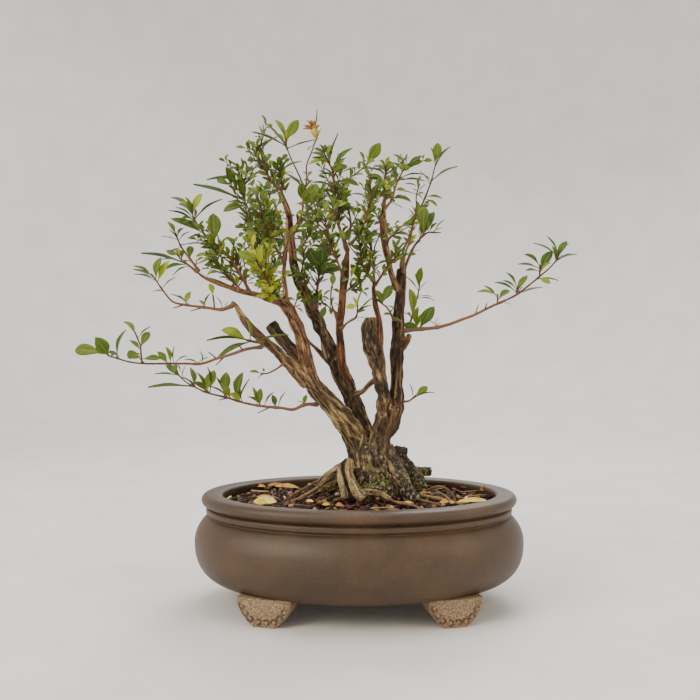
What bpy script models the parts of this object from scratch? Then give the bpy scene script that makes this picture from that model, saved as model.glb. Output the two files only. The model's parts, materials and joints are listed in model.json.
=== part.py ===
"""A pomegranate bonsai in its oval clay pot. Millimetres until a mesh is made, then metres, +Z up."""
import math
import random

import bmesh
import bpy
from mathutils import Matrix, Vector
from mathutils.bvhtree import BVHTree

MM = 0.001

# Driving dimensions, mm
POT_LENGTH = 199.0
POT_NARROWER = 51.0
POT_HEIGHT = 66.0
LIP_LENGTH = 191.0
MOUTH_LENGTH = 166.0
BASE_LENGTH = 144.0
BASE_HEIGHT = 12.4
BELLY_HEIGHT = 38.0
BELLY_SQUARENESS = 2.4
SHOULDER_RISE = 22.0
BAND_HEIGHT = (53.7, 58.6)
BAND_BACK = 2.7
GROOVE_BACK = 4.2
LIP_ROLL = (3.6, 3.4)
FLOOR_THICKNESS = 6.6
DRAIN_DIAMETER = 14.0
DRAIN_SPACING = 76.0
SCREEN_SIZE = 26.0
SCREEN_THICKNESS = 1.0
FOOT_SPACING = (102.0, 90.0)
FOOT_DEPTH = 15.0
FOOT_ROUNDING = 1.2
FOOT_TURN = 14.0
FOOT_OUTLINE = [(6.2, 0), (9.6, 2.4), (12.0, 5.4), (14.2, 8.6), (15.6, 12), (15.8, 16)]
SOIL_HEIGHT = 61.0
HOLE_FLOOR = 50.0
HOLE_RADIUS = 13.0
TRUNK_PLACE = 10.0
BLADE_THICKNESS = 0.6
GAP = 0.3
SOIL_GAP = 0.8

# The tree is laid out as it is seen from the front, from this place: right of the pot's middle,
# in front of it and above the table, mm.
EYE = (-5.5, 507.0, 152.3)

OVAL_STEPS = 32
TWIG_SIDES = 4
TWIG_TIP = 0.7
SIDE_TWIG = 0.65
SOIL_GRAIN = 1.2

# Leaves: neighbours stand this far apart, mm. The solids hold those that show most (length times
# ninths of face) and one of each tuft placed by rule, each drawn again until it is clear of others.
LEAF_SPACING = 0.75
SMALL_LEAF = 10.0
SHOWN = 30
RULE_LEAVES = 1
ATTEMPTS = 30

# Fallen leaves: x, y, heading in degrees, length and width, mm.
FALLEN_LEAVES = [(-55, -22, 4, 13.5, 5), (-56, -10, -28, 13, 3.4), (-46, 26, -24, 18, 4.4),
                 (66, -22, 12, 19, 4.4)]

# Older wood: points (right, up, back, radius) of each limb, mm, as seen in the trunk's plane.
ROOTS = {
    "root_base": [(TRUNK_PLACE, 30, 0, 8), (TRUNK_PLACE, 45, 0, 17), (TRUNK_PLACE, 58, 0, 23),
        (TRUNK_PLACE, 68, 0, 22), (TRUNK_PLACE, 75, 0, 19.5),
        (9, 82, 0, 16.5), (8, 89, 0, 14), (8, 95, 0, 12)],
    "left_root": [(-6, 84, -4, 4.5), (-13, 79, -8, 3.4), (-19, 75, -10, 2.8), (-25, 69, -12, 2)],
    "front_left_root": [(-8, 84, -8, 3.4), (-11, 78, -16, 2.8), (-10, 71, -22, 2.7), (-8, 61, -27, 2.6)],
    "front_root": [(-7, 84, -9, 4), (-7, 77, -18, 3.2), (-4, 71, -24, 2.9), (-1, 65, -30, 2.9),
        (3, 61, -32, 2.5)],
    "surface_root": [(-1, 65, -29, 2.6), (6, 65.5, -31, 2.3), (13, 64.5, -30, 1.9), (19, 61, -30, 1.5)],
    "dark_lump": [(20, 84, 2, 7), (25, 90, 3, 5), (26, 93, 3, 3)],
    "right_root": [(24, 85, 2, 6), (31, 77, 1, 5.5), (36, 70, 0, 4.8), (42, 60, -1, 3.6)],
    "cut_root": [(30, 77, 4, 3.6), (37, 78, 5, 3.3), (44, 78, 6, 2.9)],
    "front_right_root": [(18, 84, -8, 6), (25, 74, -16, 5), (30, 66, -21, 4), (35, 59, -24, 3)],
}
LIMBS = {
    "left_limb": [(4, 82, 0, 9.5), (-1, 96, -2, 7.3), (-7, 106, -5, 6.6), (-14, 115, -8, 6.2),
        (-20, 122, -10, 5.6), (-26, 128, -12, 5.2), (-30, 135, -14, 4.9), (-33, 141, -14, 4.6)],
    "low_left_limb": [(-31, 132, -15, 4), (-36, 137, -16, 4.2), (-41, 143, -18, 3.9),
        (-47, 148, -20, 3.4), (-53, 154, -22, 3), (-59, 159, -24, 2.8), (-66, 166, -26, 2.5),
        (-71, 172, -28, 2.2), (-75, 179, -29, 2), (-78, 182, -30, 1.6)],
    "dead_left_stub": [(-33, 139, -10, 4), (-38, 147, -7, 4.1), (-44, 155, -5, 3.9),
        (-49, 161, -3, 3.7), (-54, 168, -2, 3.4)],
    "red_limb": [(-30, 135, -14, 4.4), (-32, 146, -14, 4.3), (-34, 155, -12, 4.1),
        (-37, 164, -12, 3.9), (-40, 171, -10, 3.8), (-43, 177, -10, 3.7), (-46, 182, -8, 3.2)],
    "long_left_branch": [(-44, 178, -11, 3), (-49, 182, -13, 2.7), (-56, 184, -15, 2.3),
        (-62, 186, -17, 2), (-71, 188, -20, 1.8), (-80, 191, -23, 1.6), (-88, 194, -26, 1.5),
        (-95, 197, -28, 1.3), (-99, 200, -30, 1.1)],
    "pale_upright": [(-45, 181, -8, 2.2), (-45, 189, -8, 1.7), (-46, 198, -7, 1.4),
        (-45, 210, -5, 1.3), (-45, 221, -3, 1.2), (-44, 229, 0, 1.1), (-44, 235, 3, 1)],
    "middle_limb": [(5, 84, 5, 9), (3, 99, 7, 7.2), (-1, 113, 8, 6), (-5, 124, 10, 5.4),
        (-9, 133, 12, 5.4), (-12, 140, 14, 5.4), (-15, 146, 14, 4.8)],
    "middle_stub": [(-13, 141, 14, 4.6), (-18, 154, 15, 4.3), (-22, 163, 17, 4.2),
        (-26, 171, 19, 4.1), (-30, 179, 20, 3.9), (-32, 185, 20, 3.4)],
    "brown_upright": [(-29, 177, 17, 2.4), (-34, 188, 14, 2.6), (-38, 196, 12, 2.8),
        (-40, 206, 10, 2.8), (-41, 216, 8, 2.6), (-42, 226, 7, 2.4), (-43, 235, 5, 2.2),
        (-46, 244, 5, 1.8), (-48, 251, 5, 1.5)],
    "red_upright": [(-10, 141, 8, 3), (-11, 152, 5, 2.6), (-12, 165, 3, 2.3), (-11, 175, 2, 2.3),
        (-10, 186, 0, 2.4), (-9, 196, 0, 2.6), (-8, 206, 0, 2.5), (-7, 213, 0, 2)],
    "thin_stick": [(-18, 145, 17, 2.2), (-25, 152, 20, 1.4), (-31, 158, 22, 1.1), (-36, 166, 22, 1),
        (-38, 172, 22, 0.9)],
    "right_limb": [(12, 82, -3, 9), (13, 94, -5, 6.6), (14, 102, -5, 6), (16, 110, -5, 6.4),
        (18, 117, -5, 6)],
    "knobby_stub": [(16, 113, -7, 4.8), (15, 123, -8, 4.3), (14, 132, -10, 4.4),
        (12, 139, -12, 4.4), (10, 147, -14, 4.3), (7, 155, -15, 4.8), (6, 162, -15, 4.5),
        (7, 168, -15, 3.9), (7, 172, -15, 2.8)],
    "right_upright": [(21, 111, -2, 5.2), (23, 121, 0, 4.4), (23, 131, 2, 4), (23, 141, 3, 4),
        (23, 152, 5, 4), (24, 163, 7, 3.8), (24, 174, 8, 3.6), (25, 185, 10, 3.5),
        (26, 195, 12, 3.3), (26, 202, 12, 3)],
    "thin_red_upright": [(13, 151, -14, 2.2), (13, 161, -12, 1.9), (12, 171, -10, 1.8),
        (10, 180, -8, 1.7), (9, 188, -7, 1.7), (9, 194, -5, 1.8)],
    "yellow_upright": [(23, 189, 8, 2), (20, 198, 5, 1.8), (18, 207, 3, 1.9), (16, 216, 2, 2.2),
        (15, 226, 0, 2.3), (15, 234, 0, 2.2), (15, 240, 0, 1.9)],
    "right_short_stub": [(26, 154, 5, 2.6), (29, 158, 3, 2.3), (31, 162, 2, 1.6)],
    "bridge_twig": [(-4, 125, 7, 2), (2, 127, 3, 1.6), (6, 131, -3, 1.5), (12, 136, -10, 1.7)],
}

# Leafy shoots: root radius, points (right, up, back) of the twig, its tufts, and the points of each
# short side twig. A tuft is (right, up, leaf length, leaves): leaves is a number, or the tips as
# seen, (right, up, ninths of the blade's face that shows to the front).
SHOOTS = {
    "far_left_shoot": (
        1.2,
        [(-78, 179, -30), (-84, 177, -33), (-92, 178, -36), (-100, 179, -39), (-107, 180, -42),
         (-114, 182, -45), (-120, 189, -48), (-124, 195, -50), (-127, 199, -51)],
        [(-126, 198, 12, [(-138, 204, 4), (-138, 202, 3), (-121, 209, 6), (-137, 199, 2), (-116, 207, 6)]),
         (-120, 190, 9, [(-112, 197, 2), (-126, 188, 2)]),
         (-106, 180, 7, [(-103, 188, 7), (-110, 186, 3), (-115, 187, 1)]),
         (-95, 178, 9, [(-91, 187, 4), (-98, 183, 6)]),
         (-89, 185.5, 8, [(-91, 193, 8)]),
         (-84, 177, 6, [(-87, 185, 2), (-80, 182, 3)])],
        [(-88.3, 177.8, -34.5), (-88.6, 182, -35), (-89.2, 186, -36)],
    ),
    "upper_left_fork_shoot": (
        1,
        [(-98, 201, -31), (-104, 209, -33), (-109, 216, -35), (-111, 221, -36), (-112, 224, -37)],
        [(-111, 223, 10, [(-117, 231, 6), (-107, 227, 4), (-121, 222, 2), (-103, 225, 2), (-116, 226, 3)]),
         (-109, 216, 13, [(-94, 218, 2), (-115, 212, 3)]),
         (-103, 208, 9, [(-103, 216, 9), (-109, 206, 3)])],
    ),
    "left_fork_shoot": (
        1,
        [(-99, 200, -30), (-104, 204, -32), (-109, 208, -34), (-111, 211, -35)],
        [(-110, 210, 8, [(-118, 213, 8), (-111, 214, 9), (-107, 214, 6), (-121, 208, 3)]),
         (-107, 205, 16, [(-133, 212, 2), (-120, 201, 4), (-114, 198, 3)])],
    ),
    "high_left_shoot": (
        1.2,
        [(-67, 188, -18), (-71, 196, -23), (-77, 206, -27), (-85, 215, -30), (-92, 220, -32),
         (-97, 227, -34), (-101, 233, -36), (-102, 238, -37)],
        [(-102, 238, 13, [(-115, 246, 4), (-96, 248, 6), (-110, 242, 4), (-106, 246, 5), (-112, 240, 2)]),
         (-100, 233, 16, [(-84, 245, 2), (-116, 238, 1), (-108, 230, 2)]),
         (-94, 223, 16, [(-115, 233, 5), (-105, 221, 2)]),
         (-88, 218, 12, [(-89, 236, 9), (-95, 219, 7), (-103, 218, 2), (-80, 221, 3), (-97, 215, 6)]),
         (-81, 210, 10, 7)],
    ),
    "left_inner_shoot": (
        1,
        [(-73, 189, -26), (-77, 195, -20), (-84, 202, -15), (-88, 208, -12), (-90, 213, -10)],
        [(-89, 211, 9, [(-95, 212, 5), (-95, 207, 4), (-99, 205, 3), (-91, 218, 5), (-84, 215, 5)]),
         (-84, 202, 9, 6),
         (-77, 195, 7, 5)],
    ),
    "left_crown_shoot": (
        1.2,
        [(-59, 185, -19), (-59, 195, -3), (-62, 206, 5), (-63, 216, 12), (-67, 227, 17),
         (-69, 238, 20), (-70, 247, 22), (-71, 256, 22), (-72, 262, 22)],
        [(-72, 262, 9, [(-81, 269, 4), (-72, 270, 4), (-78, 265, 3), (-79, 262, 2), (-71, 265, 2)]),
         (-71, 255, 13, [(-93, 257, 2), (-59, 263, 3), (-62, 259, 2)]),
         (-70, 244, 16, [(-101, 254, 2), (-74, 258, 7), (-80, 243, 5), (-83, 237, 7), (-62, 250, 4)]),
         (-79, 253, 9, [(-87, 256.5, 8), (-81, 264.5, 7)]),
         (-67, 230, 10, 8),
         (-63, 218, 10, 7)],
        [(-70.3, 243.5, 21), (-74, 247, 20.5), (-77, 250.5, 20), (-79, 253, 20)],
    ),
    "crown_peak_left_shoot": (
        1.2,
        [(-49, 251, 5), (-54, 256, 3), (-57, 262, 2), (-59, 266, 0), (-62, 272, 0), (-63, 276, 0)],
        [(-63, 276, 9, [(-68, 279, 4), (-59, 283, 5), (-57, 280, 4), (-50, 283, 3)]),
         (-59, 265, 10, [(-67, 261, 3), (-57, 269, 6), (-63, 265, 5), (-69, 257, 3)]),
         (-55, 257, 9, 8)],
    ),
    "crown_peak_shoot": (
        1.2,
        [(-46, 251, 7), (-48, 257, 8), (-49, 262, 10), (-50, 265, 10)],
        [(-49, 264, 10, [(-50, 269, 7), (-45, 267, 5), (-35, 268, 3), (-40, 261, 3), (-54, 268, 5)]),
         (-48, 256, 9, 7)],
    ),
    "tall_thin_shoot": (
        1.1,
        [(-41, 221, 10), (-37, 228, 17), (-32, 236, 20), (-33, 246, 22), (-35, 255, 22),
         (-38, 262, 22), (-41, 268, 22), (-44, 276, 20), (-45, 282, 20)],
        [(-45, 282, 12, [(-51, 293, 5), (-37, 293, 8), (-52, 285, 6), (-58, 292, 1), (-43, 288, 6)]),
         (-44, 277, 17, [(-65, 286, 2), (-27, 281, 2), (-49, 283, 3)]),
         (-34, 254, 10, [(-35, 254, 5), (-42, 258, 5), (-46, 261, 3)]),
         (-32, 241, 12, [(-36, 254, 9), (-26, 254, 9), (-38, 242, 5), (-21, 249, 4), (-18, 244, 3)]),
         (-35, 230, 9, 7)],
    ),
    "flower_shoot": (
        0.9,
        [(-40, 226, 3), (-35, 235, 0), (-34, 245, -3), (-32, 256, -5), (-32, 265, -5),
         (-29, 273, -3), (-27, 279, -3), (-26, 281, -3)],
        [(-27, 279, 6, [(-23, 288, 2), (-32, 274, 3)]),
         (-33, 250, 8, 5)],
    ),
    "crown_middle_shoot": (
        1.4,
        [(-8, 215, -2), (-11, 224, -5), (-14, 234, -7), (-15, 244, -8), (-15, 252, -10),
         (-16, 261, -12), (-19, 268, -14), (-21, 272, -14)],
        [(-20, 271, 10, [(-24, 278, 4), (-17, 278, 5), (-29, 273, 5), (-31, 266, 4), (-13, 285, 2),
             (-29, 270, 4)]),
         (-17, 263, 12, [(-4, 276, 5), (-10, 266, 8), (-8, 270, 6), (-7, 265, 6), (-24, 260, 4)]),
         (-15, 255, 13, [(0, 253, 5), (-21, 256, 2), (-29, 255, 3)]),
         (-15, 249, 7, [(-10, 252, 5), (-23, 251, 4), (-20, 246, 5), (-9, 247, 4)]),
         (-13, 233, 9, 5)],
    ),
    "big_leaf_shoot": (
        0.9,
        [(-6, 222, 3), (-5, 230, 7), (-7, 240, 12), (-11, 249, 14), (-8, 255, 15), (-2, 260, 15),
         (2, 263, 15), (5, 266, 15)],
        [(5, 266, 12, [(13, 279, 9), (10, 268, 4), (-11, 261, 3), (17, 260, 2)]),
         (-10, 248, 6, [(-4, 246, 3), (-14, 253, 5)]),
         (-7, 238, 9, [(-13, 235, 7), (2, 238, 6), (-15, 229, 2)]),
         (-5, 228, 9, [(-8, 219, 8), (3, 230, 3)])],
    ),
    "middle_right_shoot": (
        1.2,
        [(-5, 217, -5), (-1, 222, -10), (3, 229, -14), (5, 236, -15), (7, 245, -17), (7, 254, -17),
         (7, 260, -17)],
        [(7, 246, 9, [(4, 253, 7), (-5, 248, 2), (13, 250, 8), (2, 244, 3), (12, 254, 5)]),
         (5, 237, 9, 8),
         (2, 226, 8, 6)],
    ),
    "right_crown_shoot": (
        1.3,
        [(15, 241, 0), (16, 247, -3), (16, 254, -5), (16, 259, -7), (18, 263, -7)],
        [(17, 262, 10, [(9, 265, 4), (12, 266, 5), (16, 266, 5), (21, 267, 5), (4, 258, 5)]),
         (16, 256, 11, [(5, 258, 6), (10, 254, 5), (24, 254, 5)]),
         (16, 249, 9, 6)],
    ),
    "right_fan_shoot": (
        1.1,
        [(16, 239, 3), (20, 244, 8), (22, 251, 12), (24, 256, 14), (27, 262, 15), (30, 266, 15)],
        [(29, 265, 11, [(21, 272, 5), (39, 271, 5), (39, 268, 5), (28, 270, 4), (20, 267, 4),
             (25, 265, 6)]),
         (25, 257, 13, [(40, 260, 1), (40, 256, 2), (19, 262, 6)]),
         (20, 245, 12, [(32, 243, 4), (26, 247, 3), (27, 239, 1)])],
    ),
    "right_tip_shoot": (
        1.2,
        [(26, 205, 14), (27, 213, 17), (31, 222, 20), (34, 232, 22), (38, 240, 22), (41, 247, 22),
         (44, 255, 20), (46, 263, 20), (48, 268, 20)],
        [(48, 267, 12, [(48, 279, 9), (56, 277, 3), (44, 276, 4)]),
         (44, 255, 13, [(60, 265, 2), (40, 259, 3), (37, 262, 2)]),
         (41, 246, 9, [(51, 245, 5), (48, 240, 4), (35, 248, 3), (43, 241, 6)]),
         (35, 235, 8, 6)],
    ),
    "right_small_shoot": (
        0.9,
        [(27, 201, 5), (28, 210, -7), (31, 219, -12), (33, 228, -15), (35, 238, -17),
         (35, 246, -19), (37, 254, -20)],
        [(37, 252, 8, [(28, 254, 3), (38, 259, 4), (32, 251, 3), (41, 254, 3), (24, 250, 2), (40, 248, 4)]),
         (35, 236, 7, [(30, 233, 2), (32, 241, 3), (40, 240, 6)]),
         (31, 219, 7, 4)],
    ),
    "red_right_shoot": (
        1.3,
        [(27, 200, 10), (31, 210, 5), (34, 216, 0), (38, 221, -3), (42, 224, -5), (46, 224, -7),
         (50, 224, -7)],
        [(46, 224, 8, [(52, 232, 2), (51, 227, 3), (48, 230, 4), (43, 231, 5)]),
         (40, 222, 10, [(40, 240, 8), (46, 237, 8), (43, 234, 6), (37, 229, 3)]),
         (32, 212, 7, [(38, 214, 2), (25, 214, 3)])],
    ),
    "whorl_left_shoot": (
        1,
        [(8, 195, -7), (4, 200, -14), (2, 205, -15), (1, 212, -17), (0, 219, -17), (-1, 224, -17)],
        [(-1, 224, 7, [(-5, 226, 4), (2, 229, 5), (-4, 219, 5), (4, 222, 4)]),
         (1, 211, 8, 6),
         (4, 202, 7, 4)],
    ),
    "whorl_middle_shoot": (
        1,
        [(9, 195, -5), (9, 204, 0), (8, 210, 2), (7, 216, 2), (7, 222, 2)],
        [(7, 221, 7, [(4, 227, 6), (10, 226, 6), (12, 221, 3), (2, 222, 3)]),
         (8, 210, 9, [(14, 210, 2), (12, 222, 2), (3, 206, 2)]),
         (9, 204, 7, 4)],
    ),
    "whorl_right_shoot": (
        1,
        [(10, 192, -5), (14, 198, -10), (17, 203, -14), (20, 207, -15), (23, 209, -17),
         (24, 212, -19)],
        [(24, 211, 6, [(19, 215, 2), (28, 215, 2), (23, 218, 2)]),
         (20, 207, 9, [(10, 204, 5), (23, 206, 7), (18, 210, 5)]),
         (14, 200, 7, 4)],
    ),
    "arched_leaf_shoot": (
        0.9,
        [(17, 217, -3), (19, 221, -10), (22, 223, -15), (24, 226, -17)],
        [(23, 224, 8, [(27, 227, 3), (29, 223, 5), (19, 228, 3), (17, 224, 5)]),
         (20, 221, 7, 4)],
    ),
    "right_inner_shoot": (
        0.9,
        [(21, 171, 2), (18, 177, -7), (15, 180, -12), (12, 182, -15)],
        [(14, 181, 10, [(20, 192, 8), (10, 189, 7), (22, 178, 3), (7, 184, 4)]),
         (20, 174, 7, [(15, 174, 6), (26, 169, 5)])],
    ),
    "low_right_inner_shoot": (
        0.9,
        [(-9, 188, -5), (-4, 190, -10), (-1, 192, -14), (1, 196, -15)],
        [(1, 196, 9, [(3, 194, 7), (-5, 205, 7), (2, 201, 6), (-2, 206, 5)]),
         (-4, 190, 7, 4)],
    ),
    "bright_shoot": (
        1,
        [(-10, 166, -2), (-7, 169, -10), (-2, 172, -15), (-1, 177, -19), (-1, 180, -20)],
        [(-1, 180, 9, [(-8, 178, 8), (-4, 185, 6), (2, 189, 3), (8, 180, 3), (9, 185, 3), (4, 177, 5)]),
         (-2, 173, 7, [(-7, 169, 3), (5, 172, 3), (2, 169, 2)])],
    ),
    "left_of_upright_shoot": (
        0.9,
        [(-13, 174, 0), (-16, 177, -7), (-19, 179, -10), (-21, 181, -12)],
        [(-20, 180, 8, [(-23, 172, 8), (-24, 181, 6), (-17, 174, 6), (-15, 185, 5)])],
    ),
    "broad_leaf_shoot": (
        1.5,
        [(-26, 179, 14), (-26, 186, 5), (-25, 193, 0), (-24, 200, -5), (-23, 203, -7)],
        [(-24, 201, 15, [(-21, 219, 9), (-31, 215, 8), (-10, 202, 6), (-35, 206, 5), (-27, 210, 6),
             (-17, 206, 7)]),
         (-25, 193, 7, [(-18, 196, 3), (-31, 197, 3)])],
    ),
    "round_leaf_shoot": (
        0.9,
        [(-13, 169, 0), (-15, 175, -12), (-17, 182, -19), (-17, 189, -22), (-16, 191, -22)],
        [(-16, 191, 8, [(-16, 199, 9), (-12, 188, 6), (-20, 188, 5)]),
         (-17, 182, 7, [(-23, 185, 6), (-12, 179, 2)])],
    ),
    "dark_twig_shoot": (
        1,
        [(-31, 186, 15), (-33, 194, 7), (-35, 200, 0), (-34, 206, -5), (-34, 212, -8)],
        [(-34, 211, 7, [(-37, 217, 4), (-31, 216, 5), (-38, 212, 4)]),
         (-35, 200, 7, [(-40, 198, 3), (-29, 204, 5), (-42, 204, 4)]),
         (-33, 194, 7, 4)],
    ),
    "stick_end_shoot": (
        0.9,
        [(-39, 174, 24), (-40, 177, 15), (-39, 180, 5), (-38, 183, -2)],
        [(-38, 183, 8, [(-45, 183, 5), (-34, 185, 4), (-35, 189, 4)]),
         (-40, 179, 7, [(-34, 175, 5), (-44, 174, 3), (-35, 180, 4)])],
    ),
    "bright_inner_left_shoot": (
        1.2,
        [(-49, 184, -20), (-53, 190, -32), (-57, 197, -41), (-61, 204, -48), (-63, 208, -51)],
        [(-62, 207, 12, [(-74, 212, 8), (-67, 215, 7), (-59, 214, 7), (-56, 208, 6), (-70, 206, 7)]),
         (-57, 197, 10, 7),
         (-53, 190, 9, 6)],
    ),
    "red_inner_left_shoot": (
        1.3,
        [(-48, 183, -5), (-53, 193, 5), (-56, 202, 14), (-57, 212, 19), (-59, 221, 22),
         (-60, 227, 24)],
        [(-60, 226, 10, [(-68, 232, 6), (-63, 235, 6), (-54, 232, 6), (-65, 226, 5), (-54, 224, 4)]),
         (-58, 216, 9, 7),
         (-56, 201, 9, 7)],
    ),
    "front_left_crown_shoot": (
        1.1,
        [(-46, 206, -7), (-51, 215, -20), (-56, 224, -31), (-59, 234, -37), (-61, 243, -41),
         (-62, 247, -42)],
        [(-62, 247, 9, [(-68, 251, 5), (-63, 254, 6), (-57, 251, 5), (-68, 244, 6), (-54, 245, 6)]),
         (-59, 235, 10, 8),
         (-54, 222, 9, 7)],
    ),
    "back_left_crown_shoot": (
        1.1,
        [(-43, 213, 12), (-46, 221, 27), (-51, 228, 37), (-54, 236, 44), (-57, 244, 48),
         (-58, 250, 49)],
        [(-58, 249, 9, 5),
         (-54, 237, 9, 7),
         (-48, 224, 9, 6)],
    ),
    "back_middle_shoot": (
        1.1,
        [(-40, 212, 12), (-34, 217, 27), (-30, 224, 37), (-27, 233, 46), (-25, 241, 51),
         (-24, 249, 53)],
        [(-24, 248, 9, 5),
         (-27, 233, 9, 7),
         (-32, 221, 9, 5)],
    ),
    "front_middle_shoot": (
        1,
        [(-10, 197, -5), (-13, 206, -20), (-17, 216, -31), (-20, 226, -37), (-21, 234, -41)],
        [(-21, 233, 9, 5),
         (-18, 221, 9, 5),
         (-14, 208, 7, 4)],
    ),
    "back_right_crown_shoot": (
        1.1,
        [(16, 219, 7), (15, 226, 22), (12, 232, 34), (9, 239, 42), (7, 245, 46)],
        [(7, 244, 9, 5),
         (12, 234, 9, 6)],
    ),
    "fork_leaf_shoot": (
        1,
        [(-59, 157, -27), (-63, 157, -31), (-67, 158, -34), (-69, 158, -35)],
        [(-68, 158, 16, [(-84, 165, 6), (-68, 171, 5), (-93, 159, 1), (-87, 148, 5)]),
         (-65, 157, 22, [(-43, 162, 3)])],
    ),
    "low_left_long_shoot": (
        1.2,
        [(-60, 154, -24), (-68, 153, -31), (-77, 150, -37), (-87, 147, -42), (-96, 144, -46),
         (-106, 144, -49), (-118, 144, -52), (-131, 144, -55), (-140, 145, -57), (-147, 147, -59),
         (-153, 149, -60), (-155, 151, -60)],
        [(-154, 150, 20, [(-174, 152, 7), (-161, 160, 9), (-152, 152, 3)]),
         (-148, 147, 18, [(-143, 165, 4), (-153, 151, 3)]),
         (-136, 161, 13, [(-144, 170, 5), (-127, 167, 2)]),
         (-133.3, 154, 11, [(-128, 163.5, 8), (-140, 158.5, 6)]),
         (-133, 150, 10, [(-142, 149, 8), (-138, 147, 5), (-121, 147, 6)]),
         (-118, 144, 10, [(-123, 151.5, 7), (-118, 154.5, 6), (-113, 155, 3), (-105, 149, 2), (-113, 138, 8),
             (-109, 139, 3)]),
         (-99, 144, 8, [(-92, 148, 2), (-107, 147, 3), (-97, 152, 3)])],
        [(-132.6, 144, -55), (-133, 149, -56), (-133.4, 155, -57), (-135.5, 160, -58), (-137, 163.5, -58)],
    ),
    "second_low_left_shoot": (
        1.3,
        [(-26, 119, -11), (-33, 119, -16), (-40, 116, -20), (-48, 117, -24), (-59, 118, -28),
         (-70, 120, -32), (-80, 123, -35), (-92, 126, -38), (-99, 129, -40), (-106, 133, -42),
         (-111, 138, -43)],
        [(-110, 137, 10, [(-125, 138, 2), (-118, 143, 7), (-106, 143, 2)]),
         (-102, 130, 16, [(-129, 130, 3), (-103, 142, 6), (-108, 136, 2)]),
         (-94, 127, 13, [(-88, 140, 9), (-99, 139, 6), (-92, 142, 2), (-101, 133, 5)]),
         (-82, 124, 12, [(-81, 139, 8), (-87, 136, 3), (-92, 131, 2), (-84, 132, 7)]),
         (-75, 122, 13, [(-71, 139, 7), (-67, 135, 2), (-79, 126, 6), (-77, 133, 5)]),
         (-62, 119, 10, [(-65, 130, 6), (-60, 129, 7), (-68, 124, 5), (-52, 127, 3)]),
         (-51, 117, 9, [(-53, 125, 7), (-45, 127, 2)]),
         (-34, 119, 5, [(-32, 125, 7), (-38, 121, 3)])],
    ),
    "short_low_shoot": (
        0.9,
        [(-46, 144, -22), (-50, 141, -26), (-56, 138, -29), (-60, 138, -30)],
        [(-60, 138, 7, [(-67, 139, 6), (-59, 141, 4), (-62, 135, 3)])],
    ),
    "long_right_shoot": (
        1.5,
        [(27, 164, 8), (37, 165, 8), (47, 166, 7), (55, 168, 3), (63, 171, 0), (71, 174, -3),
         (81, 179, -7), (88, 182, -10), (96, 186, -12), (104, 192, -15), (110, 197, -17),
         (117, 203, -19), (121, 208, -20), (123, 213, -22)],
        [(122, 211, 11, [(115, 222, 3), (107, 218, 2), (127, 219, 6), (128, 218, 3), (133, 211, 3),
             (118, 216, 6)]),
         (110.5, 204, 13, [(101, 211, 5), (97, 205, 3), (102, 201, 3), (118, 213, 7), (117, 206, 4)]),
         (110, 197, 9, [(117, 193, 7), (122, 195, 2)]),
         (96.8, 191, 12, [(90, 200, 5), (88, 195, 3), (83, 194, 3), (103, 198, 5), (100, 191, 2)]),
         (97, 186.5, 17, [(112, 191, 3)]),
         (84.7, 186, 12, [(72, 188, 4), (76, 192, 3), (92, 189, 5)]),
         (87, 181, 7, [(93, 180, 2)]),
         (47, 166, 5, [(42, 171, 2), (48, 172, 3), (50, 169, 2)]),
         (38, 165, 12, [(27, 168, 8), (46, 179, 8), (36, 179, 4), (40, 175, 5)])],
        [(84.5, 180.3, -8.5), (84.7, 186.5, -9)],
        [(96, 186, -12), (96.8, 191.5, -13)],
        [(110.3, 197.2, -17), (110.5, 204.5, -18)],
    ),
    "right_standing_shoot": (
        1,
        [(29, 165, 15), (32, 171, 20), (34, 179, 24), (36, 186, 26), (37, 192, 27)],
        [(37, 193, 10, [(38, 203, 8), (34, 199, 6), (28, 198, 2), (41, 194, 2)]),
         (36, 185, 10, [(45, 185, 2), (46, 183, 2), (31, 180, 3)]),
         (32, 173, 11, [(31, 190, 7), (28, 175, 5), (37, 177, 3)])],
    ),
    "low_right_twig": (
        0.9,
        [(26, 121, 0), (30, 121, 0), (33, 123, 0), (35, 125, 0)],
        [(34, 124, 9, [(42, 130, 8), (31, 132, 2), (46, 127, 1)])],
    ),
}


def at(right, up, back):
    """A point seen at (right, up) in the trunk's plane, moved back along its line of sight."""
    share = (EYE[1] + back) / EYE[1]
    return Vector((EYE[0] + (right - EYE[0]) * share, back, EYE[2] + (up - EYE[2]) * share))


def material(name, colour, roughness, metallic=0.0):
    """A plain material from an sRGB hex colour."""
    surface = bpy.data.materials.new(name)
    surface.use_nodes = True
    shader = surface.node_tree.nodes["Principled BSDF"]
    channels = [int(colour[i:i + 2], 16) / 255 for i in (0, 2, 4)]
    linear = [((c + 0.055) / 1.055) ** 2.4 if c > 0.04045 else c / 12.92 for c in channels]
    shader.inputs["Base Color"].default_value = (*linear, 1)
    shader.inputs["Roughness"].default_value = roughness
    shader.inputs["Metallic"].default_value = metallic
    return surface


def add_object(name, solid, surface=None):
    """A mesh object, in metres, from (points in mm, faces)."""
    points, faces = solid
    mesh = bpy.data.meshes.new(name)
    mesh.from_pydata([Vector(point) * MM for point in points], [], faces)
    result = bpy.data.objects.new(name, mesh)
    bpy.context.scene.collection.objects.link(result)
    if surface:
        mesh.materials.append(surface)
    return result


def apply_modifiers(thing):
    """Put what the modifiers make into the object's own mesh."""
    evaluated = thing.evaluated_get(bpy.context.evaluated_depsgraph_get())
    mesh = bpy.data.meshes.new_from_object(evaluated)
    thing.modifiers.clear()
    thing.data = mesh


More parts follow.
